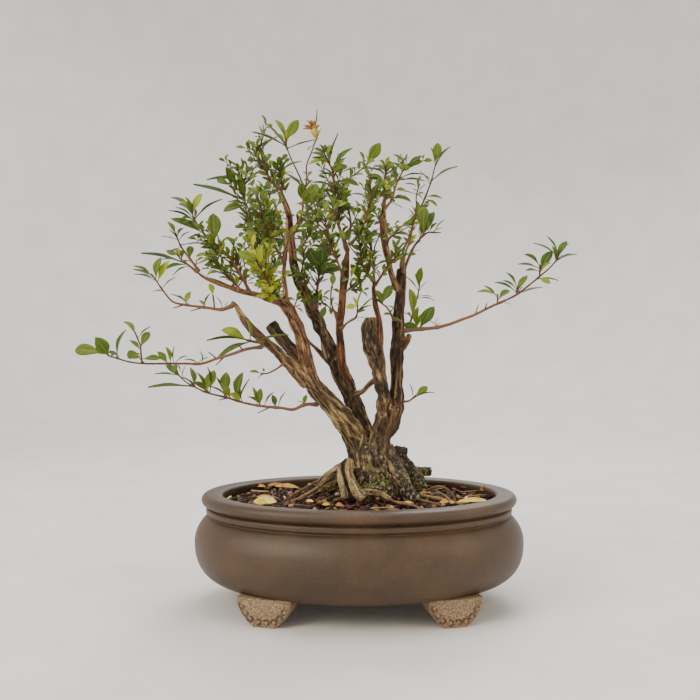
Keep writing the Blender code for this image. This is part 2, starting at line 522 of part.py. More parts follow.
def combine(thing, solids, operation="UNION", solver="EXACT"):
    """Join the solids to the object, or cut them out of it, with one Boolean."""
    group = bpy.data.collections.new("operands")
    bpy.context.scene.collection.children.link(group)
    for solid in solids:
        operand = add_object("operand", solid)
        bpy.context.scene.collection.objects.unlink(operand)
        group.objects.link(operand)
    step = thing.modifiers.new("combine", "BOOLEAN")
    step.operation = operation
    step.operand_type = "COLLECTION"
    step.collection = group
    step.solver = solver
    apply_modifiers(thing)
    for operand in list(group.objects):
        bpy.data.objects.remove(operand)
    bpy.data.collections.remove(group)


def keep_main_body(thing):
    """Drop loose scraps and the walls of sealed hollows, which leaves one solid."""
    work = bmesh.new()
    work.from_mesh(thing.data)
    bmesh.ops.remove_doubles(work, verts=work.verts, dist=0.000002)
    bmesh.ops.dissolve_degenerate(work, edges=work.edges, dist=0.000001)
    waiting = set(work.faces)
    bodies = []
    while waiting:
        body = [waiting.pop()]
        for face in body:
            for edge in face.edges:
                for other in edge.link_faces:
                    if other in waiting:
                        waiting.remove(other)
                        body.append(other)
        bodies.append(body)
    bodies.sort(key=lambda body: sum(face.calc_area() for face in body))
    scraps = [face for body in bodies[:-1] for face in body]
    bmesh.ops.delete(work, geom=scraps, context="FACES")
    work.to_mesh(thing.data)
    work.free()


def shade_round(thing, degrees=40):
    """Smooth shading, broken at edges sharper than this."""
    thing.data.shade_smooth()
    thing.data.set_sharp_from_angle(angle=math.radians(degrees))


def oval(half_length, height):
    """Points round one level oval of the pot; every oval is the same distance from the next."""
    turn = 2 * math.pi / OVAL_STEPS
    half_width = half_length - POT_NARROWER / 2
    return [Vector((half_length * math.cos(i * turn), half_width * math.sin(i * turn), height))
            for i in range(OVAL_STEPS)]


def stack(rings):
    """A closed solid through rings of points that run anticlockwise, from the lowest one inwards."""
    count = len(rings[0])
    points = [point for ring in rings for point in ring]
    faces = [list(range(count))[::-1]]
    for level in range(len(rings) - 1):
        for i in range(count):
            j = (i + 1) % count
            low = level * count
            faces.append([low + i, low + j, low + count + j, low + count + i])
    last = (len(rings) - 1) * count
    faces.append([last + i for i in range(count)])
    return points, faces


def arc(centre, radii, start, end, steps):
    """Points (out, up) along an elliptical arc, angles in degrees."""
    angles = [math.radians(start + (end - start) * i / steps) for i in range(steps + 1)]
    return [(centre[0] + radii[0] * math.cos(a), centre[1] + radii[1] * math.sin(a)) for a in angles]


def belly_outline():
    """The belly's section from the base's edge up to the groove below the band."""
    base, widest = BASE_LENGTH / 2, POT_LENGTH / 2
    bulge, drop, power = widest - base, BELLY_HEIGHT - BASE_HEIGHT, 2 / BELLY_SQUARENESS
    lower = []
    for i in range(6):
        angle = math.radians(-90 + 18 * i)
        out = base + bulge * abs(math.cos(angle)) ** power
        lower.append((out, BELLY_HEIGHT - drop * abs(math.sin(angle)) ** power))
    return lower + arc((base, BELLY_HEIGHT), (bulge, SHOULDER_RISE), 10, 42, 3)


def lip_outline():
    """The groove, the narrow band, the upper groove and the rolled lip, up to the mouth."""
    lip, mouth = LIP_LENGTH / 2, MOUTH_LENGTH / 2
    low, high = BAND_HEIGHT
    out, groove = lip - BAND_BACK, lip - GROOVE_BACK
    band = [(groove, low), (out, low + 1.2), (out, high - 1.0), (groove, high)]
    roll = arc((lip - LIP_ROLL[0], POT_HEIGHT - LIP_ROLL[1]), LIP_ROLL, -80, 80, 4)
    return band + roll + [(mouth + 1.2, POT_HEIGHT), (mouth, POT_HEIGHT - 1)]


def inside_outline(clear=0.0):
    """The pot's inner wall from the mouth down to the floor, or the soil's side, this far clear of it."""
    mouth, floor = MOUTH_LENGTH / 2, BASE_HEIGHT + FLOOR_THICKNESS
    wall = [(mouth + 0.6, 59), (mouth + 8, 46), (mouth + 8, 33), (mouth + 2, 23), (mouth - 12, floor)]
    return [(out - clear, up + (clear if up == floor else 0)) for out, up in wall]


def foot_solid(side, end):
    """One foot: a bracket outline, drawn from the front and pushed back towards the pot's middle."""
    outline = FOOT_OUTLINE + [(-across, up) for across, up in reversed(FOOT_OUTLINE)]
    spin = Matrix.Rotation(math.radians(FOOT_TURN) * side * -end, 3, "Z")
    centre = Vector((side * FOOT_SPACING[0] / 2, end * FOOT_SPACING[1] / 2, 0))
    face = FOOT_DEPTH / 2
    edge = face - FOOT_ROUNDING
    rings = []
    for back, shrink in ((-face, 0.9), (-edge, 1.0), (edge, 1.0), (face, 0.9)):
        ring = [centre + spin @ Vector((across * shrink, back, up)) for across, up in outline]
        rings.append(ring[::-1])
    return stack(rings)


def post(centre, radius, low, high, sides=16):
    """An upright round cutter."""
    rings = []
    for up in (low, high):
        turn = 2 * math.pi / sides
        rings.append([Vector((centre[0] + radius * math.cos(i * turn),
                              centre[1] + radius * math.sin(i * turn), up)) for i in range(sides)])
    return stack(rings)


def box(centre, size):
    """A level box from its middle and its three sizes."""
    x, y, z = (value / 2 for value in size)
    ring = [(-x, -y), (x, -y), (x, y), (-x, y)]
    return stack([[Vector(centre) + Vector((*corner, up)) for corner in ring] for up in (-z, z)])


def drain_places():
    """The middles of the two drain holes."""
    return [Vector((side * DRAIN_SPACING / 2, 0, 0)) for side in (-1, 1)]


def make_pot():
    """One fired piece: lip, band, belly, floor with drain holes and four feet."""
    outline = belly_outline() + lip_outline() + inside_outline()
    clay = material("brown clay", "6E5537", 0.8)
    pot = add_object("pot", stack([oval(out, up) for out, up in outline]), clay)
    combine(pot, [foot_solid(side, end) for side in (-1, 1) for end in (-1, 1)])
    combine(pot, [post(place, DRAIN_DIAMETER / 2, 5, 30) for place in drain_places()], "DIFFERENCE")
    keep_main_body(pot)
    shade_round(pot)


def screen_place(side):
    """The middle of a drain screen, which lies on the floor over its hole."""
    return Vector((side * DRAIN_SPACING / 2, 0, BASE_HEIGHT + FLOOR_THICKNESS + GAP + SCREEN_THICKNESS / 2))


def make_drain_screens():
    """A square of plastic mesh over each drain hole."""
    surface = material("black plastic mesh", "222420", 0.6)
    for name, side in (("drain_screen_left", -1), ("drain_screen_right", 1)):
        place = screen_place(side)
        screen = add_object(name, box(place, (SCREEN_SIZE, SCREEN_SIZE, SCREEN_THICKNESS)), surface)
        pitch = SCREEN_SIZE / 3
        holes = []
        for i in range(3):
            for j in range(3):
                middle = place + Vector(((i - 1) * pitch, (j - 1) * pitch, 0))
                holes.append(box(middle, (pitch - 2, pitch - 2, 4)))
        combine(screen, holes, "DIFFERENCE")


def soil_height(x, y):
    """The soil's level: nearly flat, heaped up round the trunk and higher behind its left."""
    heap = 7.5 * math.exp(-((x - 8) / 34) ** 2 - ((y + 2) / 26) ** 2)
    shoulder = 6.0 * math.exp(-((x + 12) / 16) ** 2 - ((y - 8) / 16) ** 2)
    return SOIL_HEIGHT + heap + shoulder


def make_soil(trunk_shape):
    """The plug of soil: chips raised on its top, a plain hole for the root base, recesses for screens."""
    draw = random.Random("soil")
    side = inside_outline(GAP)[::-1]
    rings = [oval(out, up) for out, up in side]
    edge = MOUTH_LENGTH / 2 - GAP
    for share in (1.0, 0.91, 0.8, 0.68, 0.55, 0.4, 0.2):
        ring = []
        for point in oval(edge, 0):
            x, y = point.x * share, point.y * share
            grain = draw.uniform(-SOIL_GRAIN, SOIL_GRAIN) if share < 1 else 0
            under_trunk = math.hypot(x - TRUNK_PLACE, y) < HOLE_RADIUS
            ring.append(Vector((x, y, HOLE_FLOOR if under_trunk else soil_height(x, y) + grain)))
        rings.append(ring)
    soil = add_object("soil", stack(rings), material("potting soil", "3A2317", 0.95))
    recess = SCREEN_SIZE + 2 * GAP
    cuts = [box(screen_place(end), (recess, recess, SCREEN_THICKNESS + 2 * GAP)) for end in (-1, 1)]
    combine(soil, trunk_shape + cuts, "DIFFERENCE", "MANIFOLD")
    keep_main_body(soil)
    shade_round(soil, 25)


def tube(route, sides, name="", relief=0.0):
    """A closed tube through points (place, radius), with ridges that run along it."""
    draw = random.Random(name)
    phase = draw.uniform(0, 6)
    places = [place for place, radius in route]
    across = (places[1] - places[0]).orthogonal().normalized()
    rings = []
    for i, (place, radius) in enumerate(route):
        along = (places[min(i + 1, len(places) - 1)] - places[max(i - 1, 0)]).normalized()
        across = (across - across.dot(along) * along).normalized()
        other = along.cross(across)
        ring = []
        for k in range(sides):
            angle = 2 * math.pi * k / sides
            swell = 1 + relief * (math.cos(3 * angle + phase + 0.25 * i) + draw.uniform(-0.6, 0.6))
            ring.append(place + radius * swell * (math.cos(angle) * across + math.sin(angle) * other))
        rings.append(ring)
    return stack(rings)


def limb_route(points, grow=0.0):
    """Places and radii along a limb; a grown limb is this much fatter and longer."""
    route = [(at(right, up, back), radius + grow) for right, up, back, radius in points]
    if grow:
        route[0] = (route[0][0] + (route[0][0] - route[1][0]).normalized() * grow, route[0][1])
        route[-1] = (route[-1][0] + (route[-1][0] - route[-2][0]).normalized() * grow, route[-1][1])
    return route


def trunk_solids(grow=0.0):
    """Every tube of the trunk: root base, roots, limbs and stubs."""
    solids = []
    for name, points in {**ROOTS, **LIMBS}.items():
        thick = max(radius for *_, radius in points)
        sides = 10 if name == "root_base" else 6 if thick > 5 else 5 if thick > 3 else 4
        relief = 0.07 if thick > 3 else 0.03
        solids.append(tube(limb_route(points, grow), sides, name, relief))
    return solids


def make_trunk():
    """The grown wood: root base, surface roots, three limbs with their forks, and the dead stubs."""
    first, *others = trunk_solids()
    trunk = add_object("trunk", first, material("bark", "6B5A48", 0.9))
    combine(trunk, others)
    keep_main_body(trunk)
    shade_round(trunk, 50)


def blade(leaf, grow=0.0):
    """One leaf: a thin blade, arched along its length in two or three flat stretches."""
    base, tip, normal, width = leaf
    along = tip - base
    length = along.length
    along.normalize()
    side = along.cross(normal).normalized()
    up = side.cross(along)
    half = width / 2 + grow
    thick = BLADE_THICKNESS / 2 + grow
    stations = [(0, 0.3, 0), (0.5, half, 0.06)]
    if length > SMALL_LEAF:
        stations = [(0, 0.3, 0), (0.38, half, 0.05), (0.74, 0.8 * half, 0.05)]
    middle = []
    for share, out, rise in stations:
        centre = base + along * (share * length) + up * (rise * length)
        middle += [centre + side * out, centre - side * out]
    middle.append(tip + along * grow)
    count = len(middle)
    points = [point + up * thick for point in middle] + [point - up * thick for point in middle]
    faces = [[i, i + 2, i + 3, i + 1] for i in range(0, count - 3, 2)] + [[count - 3, count - 1, count - 2]]
    faces += [[point + count for point in reversed(face)] for face in faces]
    outline = list(range(0, count, 2)) + list(range(count - 2, 0, -2))
    for first, second in zip(outline, outline[1:] + outline[:1]):
        faces.append([second, first, first + count, second + count])
    return points, faces


def shape_tree(solid):
    """A search tree of a solid, to find what would cross it."""
    points, faces = solid
    return BVHTree.FromPolygons(points, faces)


def shoot_route(shoot):
    """Places and radii along a shoot's twig, from its root to its tip."""
    root_radius, points = shoot[:2]
    taper = (root_radius - TWIG_TIP) / (len(points) - 1)
    return [(at(*point), root_radius - taper * i) for i, point in enumerate(points)]


def twig_solids(shoot):
    """A shoot's twig and its side twigs, each a solid of its own."""
    sides = [[(at(*point), SIDE_TWIG) for point in points] for points in shoot[3:]]
    return [tube(route, TWIG_SIDES) for route in [shoot_route(shoot)] + sides]


def nearest_on(shoot, right, up, down=0.0):
    """The place on a twig seen nearest to a point, or this far down from it, and its direction there."""
    best = None
    stretches = [stretch for points in (shoot[1], *shoot[3:]) for stretch in zip(points, points[1:])]
    for first, second in stretches:
        run, rise = second[0] - first[0], second[1] - first[1]
        share = ((right - first[0]) * run + (up - first[1]) * rise) / (run * run + rise * rise)
        share = min(max(share, 0.1), 0.9)
        miss = math.hypot(first[0] + run * share - right, first[1] + rise * share - up)
        if best is None or miss < best[0]:
            start, end = at(*first), at(*second)
            best = (miss, start.lerp(end, share), (end - start).normalized())
    return best[1] - best[2] * down, best[2]


def facing(base, along, share):
    """A leaf's upper side, turned so that this share of its face shows to the eye in front."""
    front = Vector((EYE[0] - base.x, -EYE[1] - base.y, EYE[2] - base.z)).normalized()
    toward = (front - front.dot(along) * along).normalized()
    other = along.cross(toward)
    if other.z < 0:
        other.negate()
    angle = math.pi / 2 * (1 - share)
    return toward * math.cos(angle) + other * math.sin(angle)


def seen_leaf(shoot, tuft, number, draw):
    """A leaf whose tip is seen at a known place: its length settles how far it leans in or out."""
    right, up, length, leaves = tuft
    tip_right, tip_up, face = leaves[number]
    base, along = nearest_on(shoot, right, up, (number + min(number, 2)) * LEAF_SPACING)
    seen = (at(tip_right, tip_up, base.y) - base).length
    lean = math.sqrt(max(length ** 2 - seen ** 2, (0.2 * length) ** 2)) * draw.uniform(0.5, 1.0)
    tip = at(tip_right, tip_up, base.y + lean * draw.choice((-1, 1)))
    direction = (tip - base).normalized()
    share = min(max((face / 9) ** 1.3 + draw.uniform(-0.08, 0.08), 0), 1)
    width = min((tip - base).length * (0.12 + 0.034 * face) + 0.4, 2 + 0.75 * face, 7.5)
    return base, tip, facing(base, direction, share), width


def tuft_leaf(shoot, tuft, number, draw):
    """A leaf placed by rule: round the twig in opposite pairs, rising from it."""
    right, up, length, count = tuft
    down = 2 * (number - 2) * LEAF_SPACING + draw.uniform(-0.4, 0.4)
    base, along = nearest_on(shoot, right, up, down)
    turn = number * math.pi + (number // 2) * 1.4 + draw.uniform(-0.4, 0.4)
    across = along.orthogonal().normalized()
    out = across * math.cos(turn) + along.cross(across) * math.sin(turn)
    spread = math.radians(draw.uniform(40, 72))
    direction = (along * math.cos(spread) + out * math.sin(spread) + Vector((0, 0, 0.25))).normalized()
    long = length * draw.uniform(0.7, 1.05)
    normal = facing(base, direction, draw.uniform(0, 0.8))
    return base, base + direction * long, normal, long * 0.36 + 0.2


def wanted_leaves(tuft):
    """The leaves of a tuft that the solids hold."""
    length, leaves = tuft[2:]
    if isinstance(leaves, list):
        return [number for number, leaf in enumerate(leaves) if leaf[2] * length >= SHOWN]
    return list(range(RULE_LEAVES))


def outer_part(leaf):
    """The leaf without its stalk end, which may meet its neighbours inside the twig."""
    base, tip, normal, width = leaf
    return base.lerp(tip, 0.15), tip, normal, width


def place_leaf(make, draw, in_the_way, own):
    """One leaf, drawn until it is clear of other pieces and, if it can be, of its own shoot's."""
    fallback = None
    for attempt in range(ATTEMPTS):
        leaf = make(draw)
        grown = shape_tree(blade(leaf, GAP))
        if any(grown.overlap(tree) for tree in in_the_way):
            continue
        outer = shape_tree(blade(outer_part(leaf)))
        if not any(outer.overlap(tree) for tree in own):
            return leaf
        fallback = fallback or leaf
    return fallback


def place_leaves(name, shoot, in_the_way):
    """The shoot's leaves, each with draws of its own."""
    placed = []
    own = []
    for tuft_number, tuft in enumerate(shoot[2]):
        for number in wanted_leaves(tuft):
            draw = random.Random(f"{name} {tuft_number} {number}")
            rule = seen_leaf if isinstance(tuft[3], list) else tuft_leaf
            leaf = place_leaf(lambda draw: rule(shoot, tuft, number, draw), draw, in_the_way, own)
            if leaf:
                placed.append(leaf)
                own.append(shape_tree(blade(outer_part(leaf))))
    return placed


def flower_solids(grow=0.0):
    """The dry flower: a swollen calyx, its withered petals and a thin style."""
    foot, top = at(-26, 281.6, 1.2), at(-27.2, 287.6, 0)
    along = (top - foot).normalized()
    bulge = [(-0.2, 0.5), (0.25, 2.0), (0.7, 2.5), (1.0, 1.9)]
    calyx = [(foot.lerp(top, share), radius + grow) for share, radius in bulge]
    style = [(top - along, 0.6 + grow), (at(-26, 293, -1), 0.5 + grow), (at(-25.7, 299, -2), 0.35 + grow)]
    solids = [tube(calyx, 7), tube(style, 4)]
    petals = [(-32, 292.6, -2), (-30, 293, 2), (-27.8, 292.8, -3), (-33.6, 289.4, 1), (-34.4, 287.4, -2),
              (-24.2, 289.6, 2), (-25, 288, -4)]
    for right, up, back in petals:
        tip = at(right, up, back)
        direction = (tip - top).normalized()
        solids.append(blade((top - along * 1.2, tip, facing(top, direction, 0.6), 2.6), grow))
    return solids


def make_flower():
    """The withered flower at the tip of its own shoot, one dry body."""
    first, *others = flower_solids()
    flower = add_object("dry_flower", first, material("dry flower", "A8782C", 0.7))
    combine(flower, others)
    keep_main_body(flower)


def make_fallen_leaves():
    """Dry leaves that lie loose on the soil, just clear of it."""
    surface = material("dry leaf", "D9C060", 0.6)
    clear = SOIL_GRAIN + 2 * GAP + BLADE_THICKNESS
    for number, (x, y, turn, length, width) in enumerate(FALLEN_LEAVES):
        heading = Vector((math.cos(math.radians(turn)), math.sin(math.radians(turn)), 0))
        across = heading.cross(Vector((0, 0, 1)))
        middle = Vector((x, y, 0))
        under = [middle + heading * length * (i / 4 - 0.5) + across * width * (j / 2) for i in range(5)
                 for j in (-1, 0, 1)]
        rest = max(soil_height(point.x, point.y) for point in under) + clear
        base = middle - heading * length / 2 + Vector((0, 0, rest))
        leaf = base, base + heading * length, Vector((0, 0, 1)), width
        add_object(f"fallen_leaf_{number + 1}", blade(leaf), surface)


def make_shoots():
    """Every leafy shoot: its twig and leaves fused, its root end cut to fit the limb it leaves."""
    twigs = {name: twig_solids(shoot) for name, shoot in SHOOTS.items()}
    grown_wood = trunk_solids(GAP)
    in_the_way = [shape_tree(solid) for solid in trunk_solids() + flower_solids()]
    surface = material("leaf", "5F7F1C", 0.5)
    for name, shoot in SHOOTS.items():
        others = [shape_tree(solid) for other, solids in twigs.items() if other != name for solid in solids]
        leaves = place_leaves(name, shoot, in_the_way + others)
        thing = add_object(name, twigs[name][0], surface)
        combine(thing, grown_wood + flower_solids(GAP), "DIFFERENCE", "MANIFOLD")
        combine(thing, twigs[name][1:] + [blade(leaf) for leaf in leaves], "UNION", "MANIFOLD")
        keep_main_body(thing)
        in_the_way += [shape_tree(blade(leaf)) for leaf in leaves]


def settle(pieces):
    """Move everything so that the origin is in the middle of the whole, at its underside."""
    corners = [thing.matrix_world @ Vector(corner) for thing in pieces for corner in thing.bound_box]
    low = Vector([min(corner[i] for corner in corners) for i in range(3)])
    high = Vector([max(corner[i] for corner in corners) for i in range(3)])
    shift = Vector((-(low.x + high.x) / 2, -(low.y + high.y) / 2, -low.z))
    for thing in pieces:
        for vertex in thing.data.vertices:
            vertex.co += shift


for old in list(bpy.data.objects):
    bpy.data.objects.remove(old)
make_pot()
make_drain_screens()
make_soil(trunk_solids(SOIL_GAP))
make_trunk()
make_flower()
make_fallen_leaves()
make_shoots()
settle(list(bpy.context.scene.collection.objects))
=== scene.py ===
"""The looks of a pomegranate bonsai in its oval clay pot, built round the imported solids.

Sizes are millimetres from the middle of the pot's underside until a mesh is made, then metres.
"""

import json
import random
from math import atan2, cos, exp, hypot, pi, radians, sin, sqrt

import bmesh
import bpy
import numpy as np
from mathutils import Matrix, Vector, noise
from mathutils.bvhtree import BVHTree
from mathutils.kdtree import KDTree

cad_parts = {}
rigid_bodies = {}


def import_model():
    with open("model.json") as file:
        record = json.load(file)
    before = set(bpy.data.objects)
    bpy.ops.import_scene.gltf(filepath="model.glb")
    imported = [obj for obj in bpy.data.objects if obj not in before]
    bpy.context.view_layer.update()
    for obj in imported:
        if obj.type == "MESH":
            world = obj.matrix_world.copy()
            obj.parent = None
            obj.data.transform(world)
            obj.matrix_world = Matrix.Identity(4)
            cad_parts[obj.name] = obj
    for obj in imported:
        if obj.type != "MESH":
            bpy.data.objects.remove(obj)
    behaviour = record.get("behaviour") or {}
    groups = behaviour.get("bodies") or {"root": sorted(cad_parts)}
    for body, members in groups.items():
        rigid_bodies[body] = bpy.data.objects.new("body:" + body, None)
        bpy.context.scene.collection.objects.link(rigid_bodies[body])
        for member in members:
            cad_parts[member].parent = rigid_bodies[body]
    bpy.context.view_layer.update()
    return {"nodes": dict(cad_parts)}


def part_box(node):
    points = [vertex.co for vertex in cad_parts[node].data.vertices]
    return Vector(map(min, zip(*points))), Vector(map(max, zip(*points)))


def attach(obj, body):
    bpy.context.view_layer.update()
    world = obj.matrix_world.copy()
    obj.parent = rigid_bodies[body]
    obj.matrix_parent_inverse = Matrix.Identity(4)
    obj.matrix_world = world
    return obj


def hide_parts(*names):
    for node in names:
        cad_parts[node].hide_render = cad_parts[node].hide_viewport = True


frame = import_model()

# The setting. A level camera half a metre in front of the pot, a pale floor whose rim rises all
# round, a broad soft lamp to the left in front, a weaker one to the right and one high behind.
MM = 0.001
EYE = (-5.5, 507.0, 152.3)
LENS = 42.7
FLOOR_RADIUS = 1500.0
RIM_RADIUS = 500.0
RIM_HEIGHT = 1500.0
LAMPS = [("left_lamp", (-950, -800, 900), 700, 17, "FFF4E2"), ("right_lamp", (1000, -500, 700), 600, 5,
    "FFE9CF"), ("back_lamp", (300, 900, 1100), 700, 12, "FFFFFF"), ("top_lamp", (0, -100, 1400), 900, 9,
    "F4F7FF")]

pot_low, pot_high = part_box("pot")
POT_MIDDLE = Vector(((pot_low.x + pot_high.x) / 2, (pot_low.y + pot_high.y) / 2, pot_low.z))


def to_frame(point):
    """A point in millimetres from the pot's underside, in the frame's metres."""
    return POT_MIDDLE + Vector(point) * MM


def from_frame(point):
    """A point of the frame in millimetres from the pot's underside."""
    return (Vector(point) - POT_MIDDLE) / MM


def linear(colour):
    """The linear colour of an sRGB hex value."""
    channels = [int(colour[i:i + 2], 16) / 255 for i in (0, 2, 4)]
    return (*[((c + 0.055) / 1.055) ** 2.4 if c > 0.04045 else c / 12.92 for c in channels], 1)


def socket(value):
    """A node's first output; anything else as it is."""
    return value.outputs[0] if isinstance(value, bpy.types.Node) else value


def add_node(tree, kind, inputs=None, stops=None, **settings):
    """A node (a bare kind is a shader node) with its inputs (values, nodes or sockets) and a ramp's stops."""
    made = tree.nodes.new(kind if "Node" in kind else "ShaderNode" + kind)
    for name, value in settings.items():
        setattr(made, name, value)
    for name, value in (inputs or {}).items():
        value = socket(value)
        if isinstance(value, bpy.types.NodeSocket):
            tree.links.new(value, made.inputs[name])
        else:
            made.inputs[name].default_value = value
    for i, (place, colour) in enumerate(stops or []):
        elements = made.color_ramp.elements
        element = elements[i] if i < 2 else elements.new(place)
        element.position = place
        element.color = linear(colour)
    return made


def new_surface(name, roughness, specular=0.5):
    """A material, its node tree, its shader and its Object coordinates."""
    surface = bpy.data.materials.new(name)
    surface.use_nodes = True
    shader = surface.node_tree.nodes["Principled BSDF"]
    shader.inputs["Roughness"].default_value = roughness
    shader.inputs["Specular IOR Level"].default_value = specular
    tree = surface.node_tree
    return surface, tree, shader, add_node(tree, "TexCoord").outputs["Object"]


def finish_surface(tree, shader, colour, height=None, depth=0.0, roughness=None):
    """Link a colour, a bump of this many mm and a roughness to the shader."""
    tree.links.new(socket(colour), shader.inputs["Base Color"])
    if height:
        bump = add_node(tree, "Bump", {"Height": height, "Distance": depth * MM})
        tree.links.new(socket(bump), shader.inputs["Normal"])
    if roughness:
        tree.links.new(socket(roughness), shader.inputs["Roughness"])


def add_mesh(name, points, faces, surface=None):
    """A smooth mesh object from points in millimetres and faces."""
    mesh = bpy.data.meshes.new(name)
    mesh.from_pydata([to_frame(point) for point in points], [], faces)
    if surface:
        mesh.materials.append(surface)
    mesh.polygons.foreach_set("use_smooth", [True] * len(mesh.polygons))
    piece = bpy.data.objects.new(name, mesh)
    bpy.context.scene.collection.objects.link(piece)
    return piece


def hand_over(piece, slot, *nodes):
    """Hang the piece on the root body and hide the imported solids that it stands for; its slot is not used.
    """
    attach(piece, "root")
    if nodes:
        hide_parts(*nodes)


camera = bpy.data.objects.new("camera", bpy.data.cameras.new("camera"))
camera.data.lens = LENS
camera.data.clip_start = 0.01
camera.location = to_frame((EYE[0], -EYE[1], EYE[2]))
camera.rotation_euler = (radians(90), 0, 0)
bpy.context.scene.collection.objects.link(camera)
bpy.context.scene.camera = camera

# Matt white paper: no gloss, a faint unevenness a few centimetres across.
paper, tree, shader, coords = new_surface("matt white paper", 0.9, 0.2)
tone = add_node(tree, "TexNoise", {"Vector": coords, "Scale": 1000 / 60})
colours = add_node(tree, "ValToRGB", {"Fac": tone}, [(0.3, "D6D5D2"), (0.7, "DEDDDA")])
finish_surface(tree, shader, colours)

outline = [(0, 0), (FLOOR_RADIUS - RIM_RADIUS, 0)]
for i in range(1, 13):
    turn = radians(7.5 * i)
    outline.append((FLOOR_RADIUS - RIM_RADIUS * (1 - sin(turn)), RIM_RADIUS * (1 - cos(turn))))
outline.append((FLOOR_RADIUS, RIM_HEIGHT))
floor_steps = 96
points = [(out * cos(2 * pi * k / floor_steps), out * sin(2 * pi * k / floor_steps), up)
    for out, up in outline[1:] for k in range(floor_steps)]
faces = [list(range(floor_steps))]
for level in range(len(outline) - 2):
    for k in range(floor_steps):
        low, nxt = level * floor_steps, (k + 1) % floor_steps
        faces.append([low + k, low + nxt, low + floor_steps + nxt, low + floor_steps + k][::-1])
add_mesh("floor", points, faces, paper)

world = bpy.data.worlds.new("sky")
world.use_nodes = True
world.node_tree.nodes["Background"].inputs["Color"].default_value = linear("EEF1F5")
world.node_tree.nodes["Background"].inputs["Strength"].default_value = 0.75
bpy.context.scene.world = world
for name, place, size, power, colour in LAMPS:
    lamp = bpy.data.objects.new(name, bpy.data.lights.new(name, "AREA"))
    lamp.data.size = size * MM
    lamp.data.energy = power
    lamp.data.color = linear(colour)[:3]
    lamp.location = to_frame(place)
    aim = to_frame((0, 0, 120)) - lamp.location
    lamp.rotation_euler = aim.to_track_quat("-Z", "Y").to_euler()
    bpy.context.scene.collection.objects.link(lamp)

# The pot. One piece of unglazed brown clay: a rolled lip, a narrow band between two grooves and a
# full belly, with two drain holes. Four paler feet, pressed with a border of curls, are joined on.
POT_LENGTH = 199.0
POT_NARROWER = 51.0
POT_HEIGHT = 66.0
LIP_LENGTH = 191.0
MOUTH_LENGTH = 166.0
BASE_LENGTH = 144.0
BASE_HEIGHT = 12.4
BELLY_HEIGHT = 38.0
BELLY_SQUARENESS = 2.4
SHOULDER_RISE = 22.0
BAND_HEIGHT = (53.7, 58.6)
BAND_BACK = 2.7
GROOVE_BACK = 4.2
LIP_ROLL = (3.6, 3.4)
FLOOR_THICKNESS = 6.6
DRAIN_DIAMETER = 14.0
DRAIN_SPACING = 76.0
FOOT_SPACING = (102.0, 90.0)
FOOT_DEPTH = 15.0
FOOT_ROUNDING = 1.6
FOOT_TURN = 14.0
FOOT_OUTLINE = [(6.2, 0), (9.6, 2.4), (12.0, 5.4), (14.2, 8.6), (15.6, 12), (15.8, 16)]
CURL_SPACING = 5.2
CURL_RADIUS = 1.55
OVAL_STEPS = 192


def oval(half_length, height, steps=OVAL_STEPS):
    """Points round one level oval of the pot; every oval is the same distance from the next."""
    turn = 2 * pi / steps
    half_width = half_length - POT_NARROWER / 2
    return [Vector((half_length * cos(i * turn), half_width * sin(i * turn), height)) for i in range(steps)]


def stack(rings):
    """A closed solid through rings of points that run anticlockwise, from the lowest one inwards."""
    count = len(rings[0])
    points = [point for ring in rings for point in ring]
    faces = [list(range(count))[::-1]]
    for level in range(len(rings) - 1):
        for i in range(count):
            j = (i + 1) % count
            low = level * count
            faces.append([low + i, low + j, low + count + j, low + count + i])
    last = (len(rings) - 1) * count
    faces.append([last + i for i in range(count)])
    return points, faces


def arc(centre, radii, start, end, steps):
    """Points (out, up) along an elliptical arc, angles in degrees."""
    angles = [radians(start + (end - start) * i / steps) for i in range(steps + 1)]
    return [(centre[0] + radii[0] * cos(a), centre[1] + radii[1] * sin(a)) for a in angles]


def pot_outline():
    """The pot's section: underside, belly, grooves and band, lip, inner wall and floor."""
    base, lip, mouth = BASE_LENGTH / 2, LIP_LENGTH / 2, MOUTH_LENGTH / 2
    bulge, drop, power = POT_LENGTH / 2 - base, BELLY_HEIGHT - BASE_HEIGHT, 2 / BELLY_SQUARENESS
    under = [(30, BASE_HEIGHT + 0.8), (50, BASE_HEIGHT + 0.8), (60, BASE_HEIGHT + 0.6), (66, BASE_HEIGHT),
        (70, BASE_HEIGHT)]
    belly = []
    for i in range(25):
        angle = radians(-90 + 3.75 * i)
        out = base + bulge * abs(cos(angle)) ** power
        belly.append((out, BELLY_HEIGHT - drop * abs(sin(angle)) ** power))
    shoulder = arc((base, BELLY_HEIGHT), (bulge, SHOULDER_RISE), 2, 42, 12)
    low, high = BAND_HEIGHT
    out, groove = lip - BAND_BACK, lip - GROOVE_BACK
    band = [(groove + 0.1, low - 0.5), (groove, low), (groove + 0.6, low + 0.4)]
    band += arc((out - 1.2, low + 1.9), (1.2, 1.3), -60, 0, 4) + arc((out - 1.2, high - 1.7), (1.2, 1.2), 0,
        70, 4)
    band += [(groove + 0.2, high - 0.2), (groove, high + 0.3)]
    roll = arc((lip - LIP_ROLL[0], POT_HEIGHT - LIP_ROLL[1]), LIP_ROLL, -78, 80, 14)
    top = [(lip - 6, POT_HEIGHT + 0.05), (mouth + 4, POT_HEIGHT - 0.1)]
    top += arc((mouth + 1.8, POT_HEIGHT - 2), (1.8, 1.8), 90, 180, 5)
    floor = BASE_HEIGHT + FLOOR_THICKNESS
    wall = [(mouth + 0.3, 61), (mouth + 1.2, 58), (mouth + 5, 52), (mouth + 8, 46), (mouth + 8.6, 39),
        (mouth + 8, 33), (mouth + 5.4, 27.6), (mouth + 1.4, 23), (mouth - 5, 20), (mouth - 12, floor),
        (50, floor), (25.6, floor)]
    return under + belly + shoulder + band + roll + top + wall


